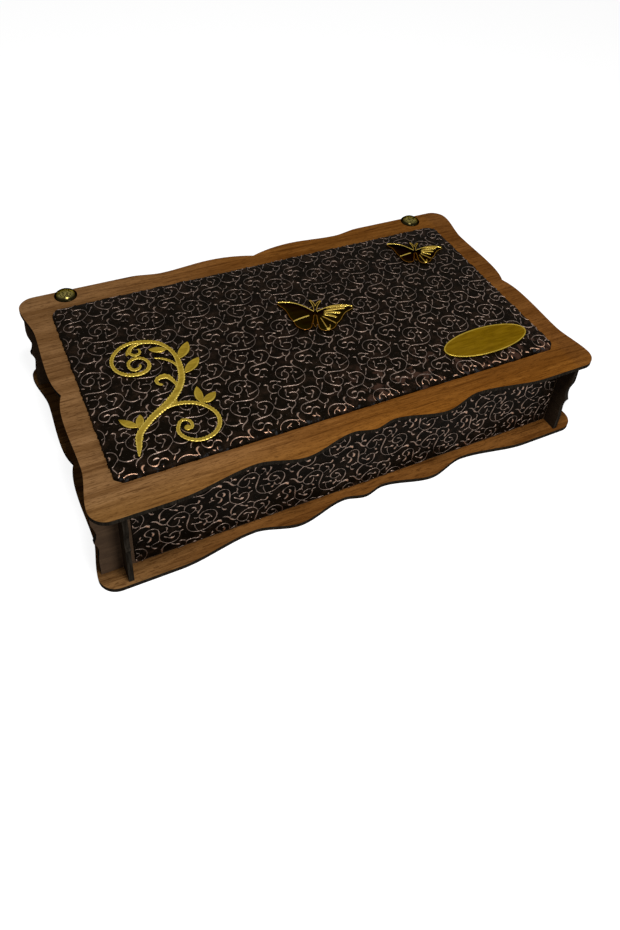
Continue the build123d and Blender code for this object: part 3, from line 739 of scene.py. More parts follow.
# %% Lay the ribs on a panel
lattice_pitch = 28.0
motif_reach = 45.0
panel_margin = 60.0
edge_gap = 0.35
bold_base = 0.15
copper_base = 0.3
least_front = 0.1
front_reach = 6.0
# How much brighter the copper is along the front: partly rubbed wear, partly painted highlight
front_rub_and_highlight = 2.0
bare_from = 0.5
bare_over = 0.6


def motif_places(panel):
    """Where the motif starts: whole steps of the lattice, turned, as far as the panel reaches."""
    span = int((np.abs(panel.flat).sum() + panel_margin) / lattice_pitch) + 2
    steps = np.arange(-span, span + 1)
    i, j = np.meshgrid(steps, steps, indexing="ij")
    places = (i.reshape(-1, 1) * lattice[0] + j.reshape(-1, 1) * lattice[1]) @ panel.spin + panel.phase
    return places[(np.abs(places) < panel.flat + motif_reach).all(1)]


def turned_rings(panel):
    """The motif's rings, turned, and fuller about their middle where the panel's lines are bold."""
    rings = motif_rings.copy()
    centre = rings[:, 2:3, :2]
    fuller = 1 + panel.bold * (bold_base + ring_stout)
    rings[:, :, :2] = (centre + (rings[:, :, :2] - centre) * fuller[:, None, None]) @ panel.spin
    return rings


def chain_faces(stroke, order, count):
    """Quads between rings that follow each other in one stroke, and a cap at each end of a run."""
    joined = (stroke[1:] == stroke[:-1]) & (order[1:] == order[:-1] + 1)
    from_before = np.insert(joined, 0, False)
    goes_on = np.append(joined, False)
    k = np.arange(count)
    first = np.nonzero(joined)[0][:, None] * count
    beside = first + (k + 1) % count
    quads = np.stack([first + k, beside, beside + count, first + k + count], -1)
    starts = np.nonzero(~from_before & goes_on)[0][:, None] * count + k[::-1]
    ends = np.nonzero(from_before & ~goes_on)[0][:, None] * count + k
    return [quads.reshape(-1, 4), starts, ends]


def crest_numbers(panel, distance, toward_b, stout):
    """How much copper each rib's crest has: more at the front, as rubbed wear and a painted highlight, more
    where it is stout, none down a side.
    """
    past = distance[:, None]
    front = np.clip(-toward_b[:, None], least_front, 1)
    # Rubbed wear and a painted highlight along the front
    rubbed = 1 + np.clip(1 + past / front_reach, 0, 1) * front * panel.shoulder * front_rub_and_highlight
    side = np.clip((past - bare_from) / bare_over, 0, 1) * (panel.shoulder > 0)
    return rib_crest * rubbed * (1 - side) * (1 + (copper_base + panel.bold) * stout[:, None])


def panel_ribs(panel):
    """All ribs of a panel: the motif repeated over the lattice, cut at the edge and bent."""
    starts = motif_places(panel)
    places = turned_rings(panel)[None] + np.pad(starts, ((0, 0), (0, 1)))[:, None, None]
    distance, _, toward_b = panel.beyond(places[:, :, 2, 0], places[:, :, 2, 1])
    kept = distance < panel.reach - edge_gap
    stroke = (ring_stroke[None] + np.arange(len(starts))[:, None] * len(motif))[kept]
    order = np.broadcast_to(np.arange(len(motif_rings)), kept.shape)[kept]
    points = panel.bend(*np.moveaxis(places[kept], -1, 0))
    crest = crest_numbers(panel, distance[kept], toward_b[kept], ring_stout[order])
    return points.reshape(-1, 3), chain_faces(stroke, order, points.shape[1]), crest.ravel()


print("ribs can be laid")

# %% [markdown]
# ## Leatherette
# The sheet is near-black with a fine pebbled grain. The embossed lines are rubbed with copper
# on their crests only, a little unevenly, and here and there a breath of it lies on the ground.
# The crest number that each rib carries says where the copper is. It is above one along the
# padded panel's front, where hands have rubbed the copper bright and a painted highlight
# brightens it further, and nought down its sides.
# On the right half of that front some copper has rubbed into the ground too, and small grey
# glints painted on the roll at its edge stand in for its highlights.

# %% Finish the leatherette
leather_black = (0.0032, 0.0019, 0.0008)
leather_brown = (0.0185, 0.0105, 0.0062)
# Colour of the painted glints on the pebbled grain
painted_leather_glint = (0.050, 0.042, 0.037)
copper_patch = (0.066, 0.033, 0.022)
# Colour of the painted glints on the pad's front roll
painted_roll_glint = (0.027, 0.0275, 0.029)
copper_bright = (0.225, 0.163, 0.130)
copper_dull = (0.085, 0.065, 0.053)
# Brighter copper along the pad's front: partly rubbed wear, partly painted highlight
copper_rub_and_highlight = (0.47, 0.265, 0.165)
back_shade = (0.55, 0.55, 0.55)


def front_wear_and_painted_glints(finish, ground):
    """The ground with copper patches on the right of the lid's front, and painted glints on its front roll.
    """
    on_lid = finish.across("Z", 0.058, 0.063)
    front = finish.times(finish.across("Y", -0.035, -0.070), on_lid)
    right = finish.times(front, finish.across("X", -0.03, 0.03))
    patches = finish.ramp(finish.noise(150, 2, 0.5, 0.2, (2, 5, 1)), 0.54, 0.63, 0.0, 0.6)
    ground = finish.mix(finish.times(right, patches), ground, copper_patch)
    # Painted glints: small grey spots on the pad's front roll stand in for highlights
    roll = finish.times(finish.across("Y", -0.0762, -0.0785), on_lid)
    painted_glint_spots = finish.ramp(finish.noise(310, 2, 0.5, 0.0, (4, 4, 4)), 0.56, 0.68)
    return finish.mix(finish.times(roll, painted_glint_spots), ground, painted_roll_glint)


def leatherette_finish():
    """Black pebbled sheet with copper on the crests of its ribs."""
    finish = Finish("leatherette")
    crest = finish.mark("crest")
    rubbed = finish.noise(160, 4, 0.6)
    patchy = finish.noise(900, 3, 0.6)
    level = finish.maths("ADD", crest, finish.ramp(patchy, 0.2, 0.8, -0.22, 0.22))
    copper = finish.ramp(level, 0.50, 0.74)
    metal = finish.mix(finish.ramp(rubbed, 0.35, 0.65), copper_dull, copper_bright)
    # Brighter copper along the front: rubbed wear and a painted highlight
    metal = finish.mix(finish.ramp(crest, 1.0, 2.0), metal, copper_rub_and_highlight)
    metal = finish.mix(finish.across("Y", -0.07, 0.09), metal, finish.tint(metal, back_shade))
    smear = finish.times(finish.ramp(rubbed, 0.44, 0.72), finish.ramp(patchy, 0.3, 0.65, 0.3, 1.0))
    ground = finish.mix(smear, leather_black, leather_brown)
    # Painted glints: small pale specks in the ground's colour stand in for highlights on the grain
    painted_glints = finish.ramp(finish.noise(1500, 1, 0.5, 0.0, (7, 0, 3)), 0.70, 0.78)
    ground = finish.mix(painted_glints, ground, painted_leather_glint)
    finish.set(
        Base_Color=finish.mix(copper, front_wear_and_painted_glints(finish, ground), metal),
        Metallic=finish.times(copper, 0.85),
        Roughness=finish.ramp(copper, 0.0, 1.0, 0.48, 0.34),
        Specular_IOR_Level=0.012,
    )
    grain = finish.bump(finish.cells(1700), 0.00006, 0.45)
    finish.set(Normal=finish.bump(finish.noise(330, 3, 0.6), 0.0005, 0.7, Normal=grain))
    return finish.material


leatherette = leatherette_finish()
print("leatherette finished")

# %% [markdown]
# ## The padded panel and the covers
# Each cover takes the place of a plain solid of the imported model: its size comes from that
# solid's box. The ribs' crests lie level with the solid's outer face. The pattern is turned
# nearly a quarter on the front wall, because the strip was cut across the roll. On the walls
# that the photograph doesn't show it is turned the same way. The thick parts of the lines are
# fuller on the strips, where the sheet isn't drawn tight over a pad.

# %% Set out the pad
lid_body = "lid"
box_body = "box"
pad_shoulder = 0.5
pad_edge_radius = 2.0
pad_corner_cut = 3.2
pad_ripple = 0.2
pad_bold = 0.0
# The wrapped sheet swells a little past the plain solid on the left, in front and behind
swell_low = np.array((1.3, 0.7, 0.0))
swell_high = np.array((-0.5, 1.3, 0.0))
pad_low, pad_high = (np.array(corner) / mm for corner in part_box("pad_cover"))
pad_low -= swell_low
pad_high += swell_high
pad_middle = np.array([*(pad_low + pad_high)[:2] / 2, pad_high[2]])
pad = Panel(
    pad_middle,
    along_x,
    along_y,
    (pad_high - pad_low)[:2] / 2,
    pad_corner_cut,
    pad_edge_radius,
    phase=-pad_middle[:2],
    bold=pad_bold,
    skirt=pad_high[2] - pad_low[2] - pad_edge_radius - pad_shoulder,
    shoulder=pad_shoulder,
    ripple=pad_ripple,
)
print("pad, in millimetres:", (pad_high - pad_low).round(1))

# %% Build the pad and the covers
cover_edge_radius = 0.8
cover_corner_cut = 0.5
strip_turn = 267.5
strip_bold = 0.24
pad_sheet = 0.14
cover_sheet = 0.3
# Each cover's direction to the right and outward, and where its pattern starts
covers = {
    "front_wall_cover": ((1, 0, 0), (0, -1, 0), (15.01, -13.93)),
    "back_wall_cover": ((-1, 0, 0), (0, 1, 0), (4.0, 6.0)),
    "left_end_cover": ((0, -1, 0), (-1, 0, 0), (-9.0, 11.0)),
    "right_end_cover": ((0, 1, 0), (1, 0, 0), (7.0, -3.0)),
}


def cover_panel(node, right, outward, phase):
    """The panel that stands for a wall cover: the box of its node, seen from outside."""
    low, high = (np.array(corner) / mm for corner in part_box(node))
    centre = (low + high) / 2
    half = (high - low) / 2
    middle = centre + np.abs(outward) * half * np.sign(outward).sum()
    width = np.abs(np.dot(half, right))
    size = (width, half[2])
    return Panel(middle, right, along_z, size, cover_corner_cut, cover_edge_radius, phase, strip_bold,
                 strip_turn)


def leather_piece(name, panel, thickness, node, body):
    """Sheet and ribs of a panel as one piece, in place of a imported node."""
    sheet_points, sheet_faces = sheet_shell(panel, thickness)
    rib_points, rib_faces, crest = panel_ribs(panel)
    parts = [(sheet_points, sheet_faces), (rib_points, rib_faces)]
    piece = build(name, parts, {"crest": [np.zeros(len(sheet_points)), crest]})
    piece.data.materials.append(leatherette)
    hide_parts(node)
    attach(piece, body)
    return piece


pad_piece = leather_piece("padded_panel", pad, pad_sheet, "pad_cover", lid_body)
for node, (right, outward, phase) in covers.items():
    name = node.replace("_cover", "_leatherette")
    leather_piece(name, cover_panel(node, right, outward, phase), cover_sheet, node, box_body)

# %% Build the board in the pad
board_gap = 0.02
# It has the same bend as the sheet, a hair lower, over a flat underside
board_a, board_b = sheet_grid(pad)
board_top = pad.bend(board_a, board_b, np.full_like(board_a, -pad_sheet - board_gap))
board_floor = board_top.copy()
board_floor[..., 2] = pad_low[2] * mm
pad_core = build("pad_inner_board", [slab(board_top, board_floor)])
pad_core.data.materials.append(board_finish("board_in_pad", along_x, along_z, *inner, (2, 2, 7)))
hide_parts("pad_board")
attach(pad_core, lid_body)

# %% [markdown]
# ## Gilt
# The ornaments are cut from thin gilt sheet. Their flat faces look like satin gold, and the laser
# leaves fine beads along them. Their rims are painted brighter, a painted highlight, and their
# hollows deeper, a painted shade. The finish is a metal whose colour goes from the hollow through
# the field to the rim by a number that the mesh keeps: nought, a third and one.

# %% Finish the gilt
# The rims' colours are painted highlights and the hollow's colour is painted shade
gilt_rim_highlight = (0.66, 0.50, 0.110)
scroll_rim_highlight = (0.57, 0.43, 0.098)
gilt_field = (0.275, 0.188, 0.022)
gilt_hollow_shade = (0.135, 0.098, 0.015)
oval_field = (0.158, 0.092, 0.006)
# Painted reflection: the mirror's field is painted near-black, as if it reflected a dark room
mirror_dark_reflection = (0.010, 0.0072, 0.0014)
mirror_line = (0.150, 0.062, 0.012)
steep_gold = (0.30, 0.20, 0.06)
fresh = (1.22, 1.22, 1.35)
tarnished = (0.82, 0.80, 0.72)
third = 1 / 3


def gilt_finish(name, hollow, field, rim, roughness):
    """Metal from the hollow's colour over the field's to the rim's, lightly brushed and beaded; the rim's
    brighter colour is a painted highlight.
    """
    finish = Finish(name)
    edge = finish.mark("rim")
    cloud = finish.noise(240, 3, 0.6)
    tarnish = finish.noise((90, 520, 300), 4, 0.6)
    tone = finish.mix(finish.ramp(edge, 0.0, third), hollow, field)
    tone = finish.tint(tone, finish.mix(finish.ramp(tarnish, 0.3, 0.7), fresh, tarnished))
    shine = finish.times(finish.ramp(edge, third, 1.0), finish.ramp(cloud, 0.4, 0.75, 1.0, 0.7))
    finish.set(
        Base_Color=finish.mix(shine, tone, rim),
        Metallic=1.0,
        Specular_Tint=(*steep_gold, 1),
        Roughness=finish.ramp(cloud, 0.3, 0.7, roughness, roughness + 0.12),
        Normal=finish.bump(finish.noise(1300, 3, 0.6), 0.00005, 0.5),
    )
    return finish.material


gilt = gilt_finish("gilt", gilt_hollow_shade, gilt_field, scroll_rim_highlight, 0.27)
olive_gilt = gilt_finish("olive_gilt", oval_field, gilt_field, gilt_rim_highlight, 0.32)
mirror_gilt = gilt_finish("mirror_gilt", mirror_dark_reflection, mirror_line, gilt_rim_highlight, 0.16)
print("gilt finished")

# %% [markdown]
# ## The scroll ornament
# The scroll is a stem with two arches that curl in, some tendrils and pointed leaves. The same
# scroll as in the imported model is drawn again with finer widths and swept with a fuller
# section: an upright cut edge, a beaded rim and a nearly flat field. A leaf is a strip between
# two arcs with a raised middle vein.

# %% The scroll's strokes, leaves and dots, in millimetres from the foot of its stem
main_stem = [
    (0.0, 0.0, 1.0), (2.0, 6.5, 3.2), (4.2, 14.0, 4.2), (13.5, 24.0, 4.2), (29.5, 35.0, 5.3),
    (36.8, 42.6, 4.6), (41.4, 50.4, 4.2), (43.8, 60.0, 4.0), (44.6, 71.0, 2.9), (42.2, 81.0, 2.6),
    (37.8, 87.4, 3.0), (31.0, 91.0, 3.4), (21.0, 92.9, 2.5), (10.8, 87.7, 2.6), (6.0, 78.0, 2.3),
    (8.2, 69.0, 2.5), (17.3, 63.7, 3.0), (25.3, 66.0, 2.7), (27.1, 72.4, 2.1), (20.3, 78.1, 2.3),
    (15.2, 74.0, 2.0), (18.7, 67.9, 2.4), (21.8, 71.8, 1.0),
]
lower_arch = [
    (21.0, 29.0, 2.8), (34.5, 30.5, 2.9), (46.5, 23.5, 2.6), (50.7, 10.0, 2.5), (42.5, -0.3, 2.8),
    (30.5, 0.8, 2.5), (26.3, 12.0, 2.2), (32.0, 16.8, 2.0), (34.6, 11.4, 1.9), (33.0, 8.6, 1.5),
]
inner_branch = [
    (31.0, 90.8, 2.0), (24.0, 90.2, 2.6), (20.2, 87.9, 2.6), (18.8, 84.4, 1.9), (22.0, 80.9, 2.2),
    (25.3, 83.6, 1.5), (24.4, 86.2, 0.9),
]
upper_tendril = [(43.0, 60.3, 1.8), (41.5, 65.5, 1.8), (36.8, 71.3, 1.6), (31.6, 74.1, 1.0)]
lower_curl = [(37.1, 43.9, 2.2), (36.4, 49.4, 2.2), (31.7, 56.3, 4.2), (26.6, 52.6, 2.0), (29.5, 49.5, 1.5)]
scroll_strokes = [main_stem, lower_arch, inner_branch, upper_tendril, lower_curl]
# Base, tip and the bulge to each side of the way from base to tip
scroll_leaves = [
    ((41.8, 79.4), (30.5, 83.2), 2.9, 2.4),
    ((21.6, 89.9), (16.1, 82.2), 1.8, 1.6),
    ((45.0, 67.8), (56.1, 81.8), 2.7, 4.0),
    ((44.6, 54.2), (57.8, 65.1), 3.1, 3.4),
    ((6.5, 21.0), (-3.0, 31.0), 3.0, 2.0),
    ((6.0, 20.0), (9.5, 30.5), 2.2, 2.6),
    ((46.0, 25.5), (47.5, 40.5), 3.2, 2.0),
    ((46.0, 26.0), (56.5, 32.0), 2.4, 3.4),
]
scroll_dots = [(31.6, 10.4, 2.1), (4.9, 12.5, 1.3), (30.6, 34.4, 2.6)]
print("scroll strokes and leaves:", len(scroll_strokes), len(scroll_leaves))

# %% Sweep the gilt
sheet_step = 0.45
sheet_thickness = 1.2
bead_pitch = 2.2
bead_swell = 0.13
bead_lift = 0.6
# A stroke's section from foot to foot: places across it, share of the thickness and rim number
plate_across = np.array([-1.0, -1.0, -0.86, -0.5, 0.0, 0.5, 0.86, 1.0, 1.0])
plate_share = np.array([0.0, 0.78, 0.98, 0.93, 0.94, 0.93, 0.98, 0.78, 0.0])
plate_rim = np.array([0.4, 0.8, 1.0, 0.38, third, 0.38, 1.0, 0.8, 0.4])
stem_rim = np.array([0.4, 0.7, 0.9, 0.42, 0.38, 0.42, 0.9, 0.7, 0.4])
beaded_columns = plate_rim > 0.5
leaf_rim = np.array([0.3, 0.5, 0.6, 0.2, 0.33, 0.3, 0.6, 0.5, 0.3])
leaf_share = np.array([0.0, 0.78, 0.98, 0.72, 0.9, 0.72, 0.98, 0.78, 0.0])
leaf_way = np.linspace(0.015, 0.985, 17)
dot_steps = (0.0, 0.4, 0.7, 0.9, 1.0)
# Share of a dot's thickness at its edge, and what its dome adds in the middle
dot_edge = 0.8
dot_dome = 0.2


def closed_strip(places):
    """Faces of a strip of rings: its sides all round and a cap at each end."""
    rings, count = places.shape[:2]
    k = np.arange(count)
    sides = grid_faces(rings, count, closed_columns=True)
    return [sides, k[None, ::-1], k[None] + (rings - 1) * count]


def gilt_stroke(points, thickness, beads):
    """A stroke of gilt sheet, with beads that swell its rim in and out along it."""
    line = smooth_line(points, sheet_step)
    places = swept(line, plate_across, plate_share * thickness, sink_ends=False)
    wave = np.sin(2 * np.pi * run_along(line) / bead_pitch)[:, None]
    rim = beaded_columns * beads
    middle = line[:, None, :2]
    places[:, :, :2] = middle + (places[:, :, :2] - middle) * (1 + rim * wave)[:, :, None]
    places[:, :, 2] *= 1 + bead_lift * rim * wave
    return places


def gilt_leaf_strip(base, tip, left_bulge, right_bulge, thickness):
    """A leaf: rings across the way from base to tip, as wide as a parabola through the bulge."""
    base, tip = np.array(base), np.array(tip)
    way = tip - base
    side = np.array([-way[1], way[0]]) / np.hypot(*way)
    width = 4 * leaf_way * (1 - leaf_way)
    reach = np.where(plate_across > 0, left_bulge, right_bulge) * plate_across
    spread = (width[:, None] * reach)[:, :, None] * side
    places = base + leaf_way[:, None, None] * way + spread
    heights = np.broadcast_to(leaf_share * thickness, places.shape[:2])
    return np.concatenate([places, heights[:, :, None]], -1)


def lathe(profile, middle, segments=32, stretch=(1.0, 1.0)):
    """Rings about an upright axis from a profile of (radius, height), from the top to the foot."""
    turn = np.linspace(0, 2 * np.pi, segments, endpoint=False)
    radius, height = np.array(profile, float).T
    x = radius[:, None] * np.cos(turn) * stretch[0] + middle[0]
    y = radius[:, None] * np.sin(turn) * stretch[1] + middle[1]
    places = np.stack([x, y, np.broadcast_to(height[:, None], x.shape)], -1)
    return places, [grid_faces(len(radius), segments, closed_columns=True)]


def whole_mark(places, mark):
    """The same rim number for each point of some rings."""
    return np.full(places.shape[0] * places.shape[1], mark)


def dot_profile(radius, thickness):
    """A low gilt blob with an upright edge."""
    dome = [(radius * s, thickness * (dot_edge + dot_dome * np.sqrt(1 - s * s))) for s in dot_steps]
    return dome + [(radius, 0.0), (0.0, 0.0)]


def set_down(places, foot, tilt, size):
    """Turn, scale and move places onto the lid, in metres."""
    cos, sin = np.cos(np.radians(tilt)) * size, np.sin(np.radians(tilt)) * size
    flat = places.reshape(-1, 3).copy()
    flat[:, :2] = flat[:, :2] @ np.array([(cos, sin), (-sin, cos)])
    return (flat + np.array(foot)) * mm


def lay_gilt(name, pieces, foot, tilt, size, node, material):
    """Lay strips and lathed dots down as one gilt piece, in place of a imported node."""
    parts = [(set_down(places, foot, tilt, size), faces) for places, faces, rim in pieces]
    rims = [rim for places, faces, rim in pieces]
    piece = build(name, parts, {"rim": rims})
    piece.data.materials.append(material)
    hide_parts(node)
    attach(piece, lid_body)
    return piece


def strip_piece(places, rim=plate_rim):
    """A strip with its faces and its rim numbers."""
    return places, closed_strip(places), np.tile(rim, len(places))


print("gilt helpers ready")

# %% Lay the scroll
scroll_foot = (-135.1, -68.35, pad_high[2])
stroke_drop = 0.03
leaf_thickness = 0.9 * sheet_thickness
dot_thickness = 0.97 * sheet_thickness
dot_shine = 0.45
scroll_pieces = []
for number, points in enumerate(scroll_strokes):
    places = gilt_stroke(points, sheet_thickness - stroke_drop * number, bead_swell)
    scroll_pieces.append(strip_piece(places, stem_rim))
for leaf in scroll_leaves:
    scroll_pieces.append(strip_piece(gilt_leaf_strip(*leaf, leaf_thickness), leaf_rim))
for x, y, radius in scroll_dots:
    places, faces = lathe(dot_profile(radius, dot_thickness), (x, y))
    scroll_pieces.append((places, faces, whole_mark(places, dot_shine)))
lay_gilt("gilt_scroll", scroll_pieces, scroll_foot, 0.0, 1.0, "scroll_ornament", gilt)

# %% [markdown]
# ## The butterflies
# Each butterfly is a dark mirror plate with gilt lines on it. The plate's dark colour is a painted
# reflection of a dark room. The left wing keeps two dark fields between its veins, and the right
# wing is nearly filled by a fan of gilt ribs. How bright each line is, and how that differs from
# the left wing to the right, is painted reflection too. The lines could be colour on a flat plate,
# but raised strips give each its own glint and shadow.

# %% A butterfly's lines, in millimetres from its middle, x across and y forward
wing_lead = [(1.2, 3.0), (5.7, 6.6), (11.7, 10.1), (17.5, 11.6), (22.6, 11.5), (26.0, 10.8)]
wing_trail = [(26.5, 9.2), (24.1, 6.9), (21.1, 4.0), (18.9, -0.1), (17.3, -4.4), (14.3, -8.8)]
hind_wing = [(14.3, -8.8), (13.2, -12.4), (10.2, -15.5), (6.7, -16.7), (3.8, -15.5), (2.0, -9.4), (1.1, -1.3)]
wing_middle = np.array([8.0, -2.5])
wing_vein = [(4.1, -1.6, 1.0), (9.5, -4.8, 1.0), (14.8, -8.6, 0.8)]
fan_ribs = [
    [(7.6, 7.0, 0.6), (14.0, 9.9, 1.7), (22.6, 10.5, 1.5)],
    [(6.2, 3.5, 0.9), (13.0, 6.9, 2.3), (20.6, 8.5, 2.0)],
    [(6.0, 1.5, 0.9), (12.4, 3.2, 2.2), (17.6, 3.0, 1.8)],
    [(5.8, -0.2, 0.8), (10.5, -0.5, 1.9), (14.7, -2.2, 1.7)],
    [(4.7, -1.9, 0.6), (9.2, -4.9, 0.8), (13.8, -8.4, 0.7)],
    [(3.6, -3.6, 0.5), (5.8, -8.8, 0.7), (7.9, -13.9, 0.8)],
    [(9.6, -10.2, 0.5), (10.0, -12.4, 0.6), (8.8, -14.4, 0.7)],
]
antenna_loop = [(1.2, 3.0, 0.42), (1.3, 7.8, 0.42), (2.8, 12.5, 0.48), (4.1, 15.2, 0.75)]
antenna_inside = [(0.2, 9.0, 0.38), (1.5, 13.0, 0.42), (3.6, 15.4, 0.75)]
body_half = (1.4, 9.1)
body_middle = -4.6
body_steps = (0.0, 0.5, 0.8, 1.0)
body_segments = 36
body_rise = 0.05
# The gilt ring on the body: half its length, its middle, the width of its line and its open end
body_ring = (0.7 * body_half[1], body_middle - 2.2, 0.22, 0.12)
ring_points = 15
# The width of the front edge's line at the body, and what it gains on the way to the tip
lead_width = 0.45
lead_gain = 0.75
edge_width = 0.36
hind_blob = (8.8, -14.8)
hind_blob_radius = 1.3
blob_segments = 16
outline_step = 0.8
# The wing's rings: share of the way out from its middle, and share of the plate's thickness
wing_shares = np.array([0.0, 0.5, 0.97, 1.0, 1.0, 0.0])
wing_heights = np.array([1.0, 1.0, 1.0, 0.9, 0.0, 0.0])
# Shine of the broad ribs, the fine ribs, the vein and the ring, and drops under the highest line
broad_ribs = 4
rib_shine = (0.82, 0.7)
vein_shine = 0.9
ring_shine = 0.45
vein_drop = 0.03
rib_drops = (0.03, 0.05)
ring_drop = 0.06
# A line's shine along its middle and how much its rim adds
line_middle = 0.6
line_rim = 0.4
print("ribs in a wing's fan:", len(fan_ribs))

# %% Draw a butterfly


def drawn(points, width):
    """Points of a line with one width."""
    return [(x, y, width) for x, y in points]


def flipped(points):
    """The line on the other side of the body."""
    return [(-x, *rest) for x, *rest in points]


def wing_plate(side, thickness):
    """A wing as rings that shrink towards a point inside it, with an upright edge."""
    lead, trail, hind = (smooth_line(line, outline_step) for line in (wing_lead, wing_trail, hind_wing))
    outline = np.concatenate([lead, trail[1:], hind[1:]])
    flat = wing_middle + wing_shares[:, None, None] * (outline - wing_middle)
    flat = flat * np.array([side, 1.0])
    lift = np.broadcast_to((wing_heights * thickness)[:, None, None], (*flat.shape[:2], 1))
    places = np.concatenate([flat, lift], -1)
    faces = [grid_faces(len(wing_shares), len(outline), closed_columns=True)]
    return places, faces, whole_mark(places, 0.0)


def line_piece(points, shine, top):
    """A raised gilt line on the plate, up to the given height, duller along its middle."""
    return strip_piece(gilt_stroke(points, top, 0.0), shine * (line_middle + line_rim * plate_rim))


def domed_body(plate):
    """The body: an oval with a low dome, as one lathed piece."""
    crown = [(s, plate * (1 + body_rise * np.sqrt(1 - s * s))) for s in body_steps]
    places, faces = lathe(crown + [(1.0, 0.0), (0.0, 0.0)], (0, body_middle), body_segments, body_half)
    return places, faces, whole_mark(places, 0.0)


def ring_on_body():
    """Points of the gilt line round the body, open at the front."""
    half, middle, width, gap = body_ring
    angles = np.linspace(gap, 2 * np.pi - gap, ring_points) + np.pi / 2
    return [(body_half[0] * np.cos(a), middle + half * np.sin(a), width) for a in angles]


def lead_line():
    """The front edge's line, which widens with the square of the way to the wing's tip."""
    tip = wing_lead[-1][0]
    return [(x, y, lead_width + lead_gain * (x / tip) ** 2) for x, y in wing_lead]


def butterfly_pieces(plate, top):
    """The plate of both wings and the body, and the gilt lines on it."""
    pieces = [wing_plate(-1, plate), wing_plate(1, plate), domed_body(plate)]
    # Each line's shine on the left and on the right wing, a painted reflection, and how far its top is under
    # the highest
    lines = [
        (lead_line(), 0.9, 0.9, 0.0),
        (drawn(wing_trail, edge_width), 0.3, 0.6, 0.04),
        (drawn(hind_wing, edge_width), 0.3, 0.5, 0.05),
        (antenna_loop, 0.75, 0.75, 0.02),
        (antenna_inside, 0.75, 0.75, 0.03),
    ]
    for line, shine, _, drop in lines:
        pieces.append(line_piece(flipped(line), shine, top - drop))
    for line, _, shine, drop in lines:
        pieces.append(line_piece(line, shine, top - drop))
    pieces.append(line_piece(flipped(wing_vein), vein_shine, top - vein_drop))
    for number, rib in enumerate(fan_ribs):
        pieces.append(line_piece(rib, rib_shine[number >= broad_ribs], top - rib_drops[number % 2]))
    blob, faces = lathe(dot_profile(hind_blob_radius, top), hind_blob, blob_segments)
    pieces.append((blob, faces, whole_mark(blob, 1.0)))
    return pieces + [line_piece(ring_on_body(), ring_shine, top - ring_drop)]


print("butterfly helpers ready")

# %% Lay both butterflies
plate_height = 0.85
# Where each one's middle lies, its turn in degrees and its size
butterflies = {
    "middle_butterfly": ((10.2, 8.35, pad_high[2]), -25.4, 1.0),
    "corner_butterfly": ((114.9, 48.55, pad_high[2]), -26.2, 0.82),
}
for node, (foot, tilt, size) in butterflies.items():
    pieces = butterfly_pieces(plate_height, sheet_thickness)
    lay_gilt("gilt_" + node, pieces, foot, tilt, size, node, mirror_gilt)

# %% [markdown]
# ## The oval plate
# A bare oval of darker gilt with a raised rim, painted bright as a highlight. It is rings of an
# ellipse, stepped in by equal distances at the rim so that the rim is as wide all round.

# %% Build the oval plate
oval_half = np.array([33.0, 12.4])
oval_foot = (106.1, -58.15, pad_high[2])
oval_tilt = 0.8
oval_segments = 128
field_shares = (0.0, 0.3, 0.6, 0.85)
# Inset from the edge in millimetres, share of the thickness and rim number of each step
rim_steps = [
    (1.25, 0.80, 0.0), (1.0, 0.82, 0.1), (0.8, 0.93, 0.38), (0.55, 1.0, 0.55), (0.25, 0.97, 0.55),
    (0.0, 0.82, 0.45), (0.0, 0.0, 0.3),
]


def oval_plate():
    """Field rings that shrink to the middle, then the rim's steps, and a flat underside."""
    inset, height, shine = rim_steps[0]
    rings = [((oval_half - inset) * share, height, shine) for share in field_shares]
    rings += [(oval_half - inset, height, shine) for inset, height, shine in rim_steps]
    rings.append((oval_half * 0.0, 0.0, 0.0))
    sizes, heights, shines = (np.array(column) for column in zip(*rings))
    turn = np.linspace(0, 2 * np.pi, oval_segments, endpoint=False)
    flat = sizes[:, None, :] * np.stack([np.cos(turn), np.sin(turn)], -1)
    lift = np.broadcast_to(heights[:, None, None] * sheet_thickness, (*flat.shape[:2], 1))
    faces = [grid_faces(len(sizes), len(turn), closed_columns=True)]
    return np.concatenate([flat, lift], -1), faces, np.repeat(shines, len(turn))


lay_gilt("gilt_oval", [oval_plate()], oval_foot, oval_tilt, 1.0, "oval_plate", olive_gilt)

# %% [markdown]
# ## Rivets, hinges and the card
# The two domes are antique brass nails, bright on the crown and darker towards the rim, where a
# dark reflection is painted. Their shank goes through the lid and holds a hinge leaf. A cut sphere
# would do for the crown alone, but one turned profile gives the crown, the shank and the tail in
# one closed piece. The hinge leaves, pins and small rivets keep the shapes of the imported model
# and get plain antique brass.
# The loose card on the floor of the box is pale food card, which shows when the lid is open.

# %% Finish the brass
brass_bright = (0.235, 0.195, 0.070)
dome_bright = (0.255, 0.208, 0.060)
brass_dark = (0.010, 0.008, 0.003)
steep_brass = (0.12, 0.10, 0.04)


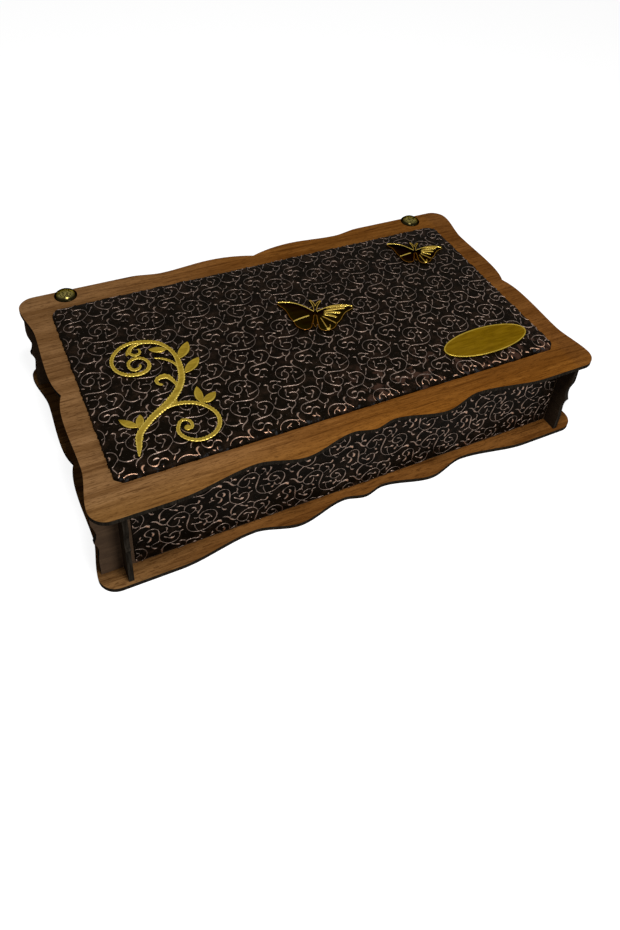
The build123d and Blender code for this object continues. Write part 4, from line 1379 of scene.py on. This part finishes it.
def brass_finish(name, bright, dark_rim_reflection):
    """Antique brass: patina in the hollows, and a painted dark reflection towards the rim where there is one.
    """
    finish = Finish(name)
    cloud = finish.noise(420, 4, 0.65)
    patina_and_dark_reflection = finish.ramp(cloud, 0.42, 0.62, 0.0, 0.85)
    if dark_rim_reflection:
        specks = finish.ramp(finish.noise(1100, 3, 0.6, 0.0, (4, 2, 0)), 0.38, 0.58, 0.1, 0.9)
        # Painted reflection: the dome darkens towards its rim, over its real patina specks
        patina_and_dark_reflection = finish.maths("MAXIMUM", specks, finish.ramp(finish.mark("rim"), 0.22, 0.78))
    finish.set(
        Base_Color=finish.mix(patina_and_dark_reflection, bright, brass_dark),
        Metallic=1.0,
        Specular_Tint=(*steep_brass, 1),
        Roughness=finish.ramp(cloud, 0.3, 0.7, 0.12, 0.22 if dark_rim_reflection else 0.34),
        Normal=finish.bump(cloud, 0.0002, 0.4),
    )
    return finish.material


brass = brass_finish("antique_brass", brass_bright, False)
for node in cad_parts:
    if "hinge" in node or "washers" in node or node == "wall_leaf_rivets":
        wear(node, brass)
print("brass on rivets, washers and hinges")

# %% Turn the dome rivets
dome_radius = 7.6
dome_rise = 3.7
dome_base = 0.5
shank_radius = 1.5
tail_radius = 2.2
tail_bevel = (0.5, 0.4)
dome_bevel = (0.2, 0.15)
dome_segments = 48
dome_steps = 13
rivet_places = [(-138.3, 93.75), (138.3, 93.75)]
lid_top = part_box("lid_plate")[1][2] / mm
washer_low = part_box("dome_rivet_washers")[0][2] / mm
tail_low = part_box("dome_rivets")[0][2] / mm
ball = (dome_radius**2 + dome_rise**2) / (2 * dome_rise)
reach = np.linspace(0, 1, dome_steps)
dome_middle = lid_top + dome_base + dome_rise - ball
profile = [(radius, dome_middle + np.sqrt(ball**2 - radius**2)) for radius in dome_radius * reach]
profile += [(dome_radius, lid_top + dome_bevel[1]), (dome_radius - dome_bevel[0], lid_top)]
profile += [(shank_radius, lid_top), (shank_radius, washer_low), (tail_radius, washer_low)]
profile += [(tail_radius, tail_low + tail_bevel[1]), (tail_radius - tail_bevel[0], tail_low), (0.0, tail_low)]
rims = np.concatenate([reach**2, np.ones(len(profile) - len(reach))])
rivets = []
for place in rivet_places:
    places, faces = lathe(profile, place, dome_segments)
    rivets.append((places.reshape(-1, 3) * mm, faces))
rivet_piece = build("brass_dome_rivets", rivets, {"rim": [np.repeat(rims, dome_segments)] * len(rivets)})
rivet_piece.data.materials.append(brass_finish("antique_brass_dome", dome_bright, True))
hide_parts("dome_rivets")
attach(rivet_piece, lid_body)

# %% Finish the card
card_light = (0.78, 0.70, 0.50)
card_dark = (0.66, 0.57, 0.38)


def card_finish():
    """Pale food card with faint fibres."""
    finish = Finish("card")
    fibres = finish.noise((500, 90, 500), 4, 0.6, 0.5)
    finish.set(
        Base_Color=finish.mix(finish.ramp(fibres, 0.35, 0.7), card_light, card_dark),
        Roughness=0.55,
        Specular_IOR_Level=0.35,
        Normal=finish.bump(fibres, 0.00005, 0.4),
    )
    return finish.material


wear("floor_liner", card_finish())
print("card finished")
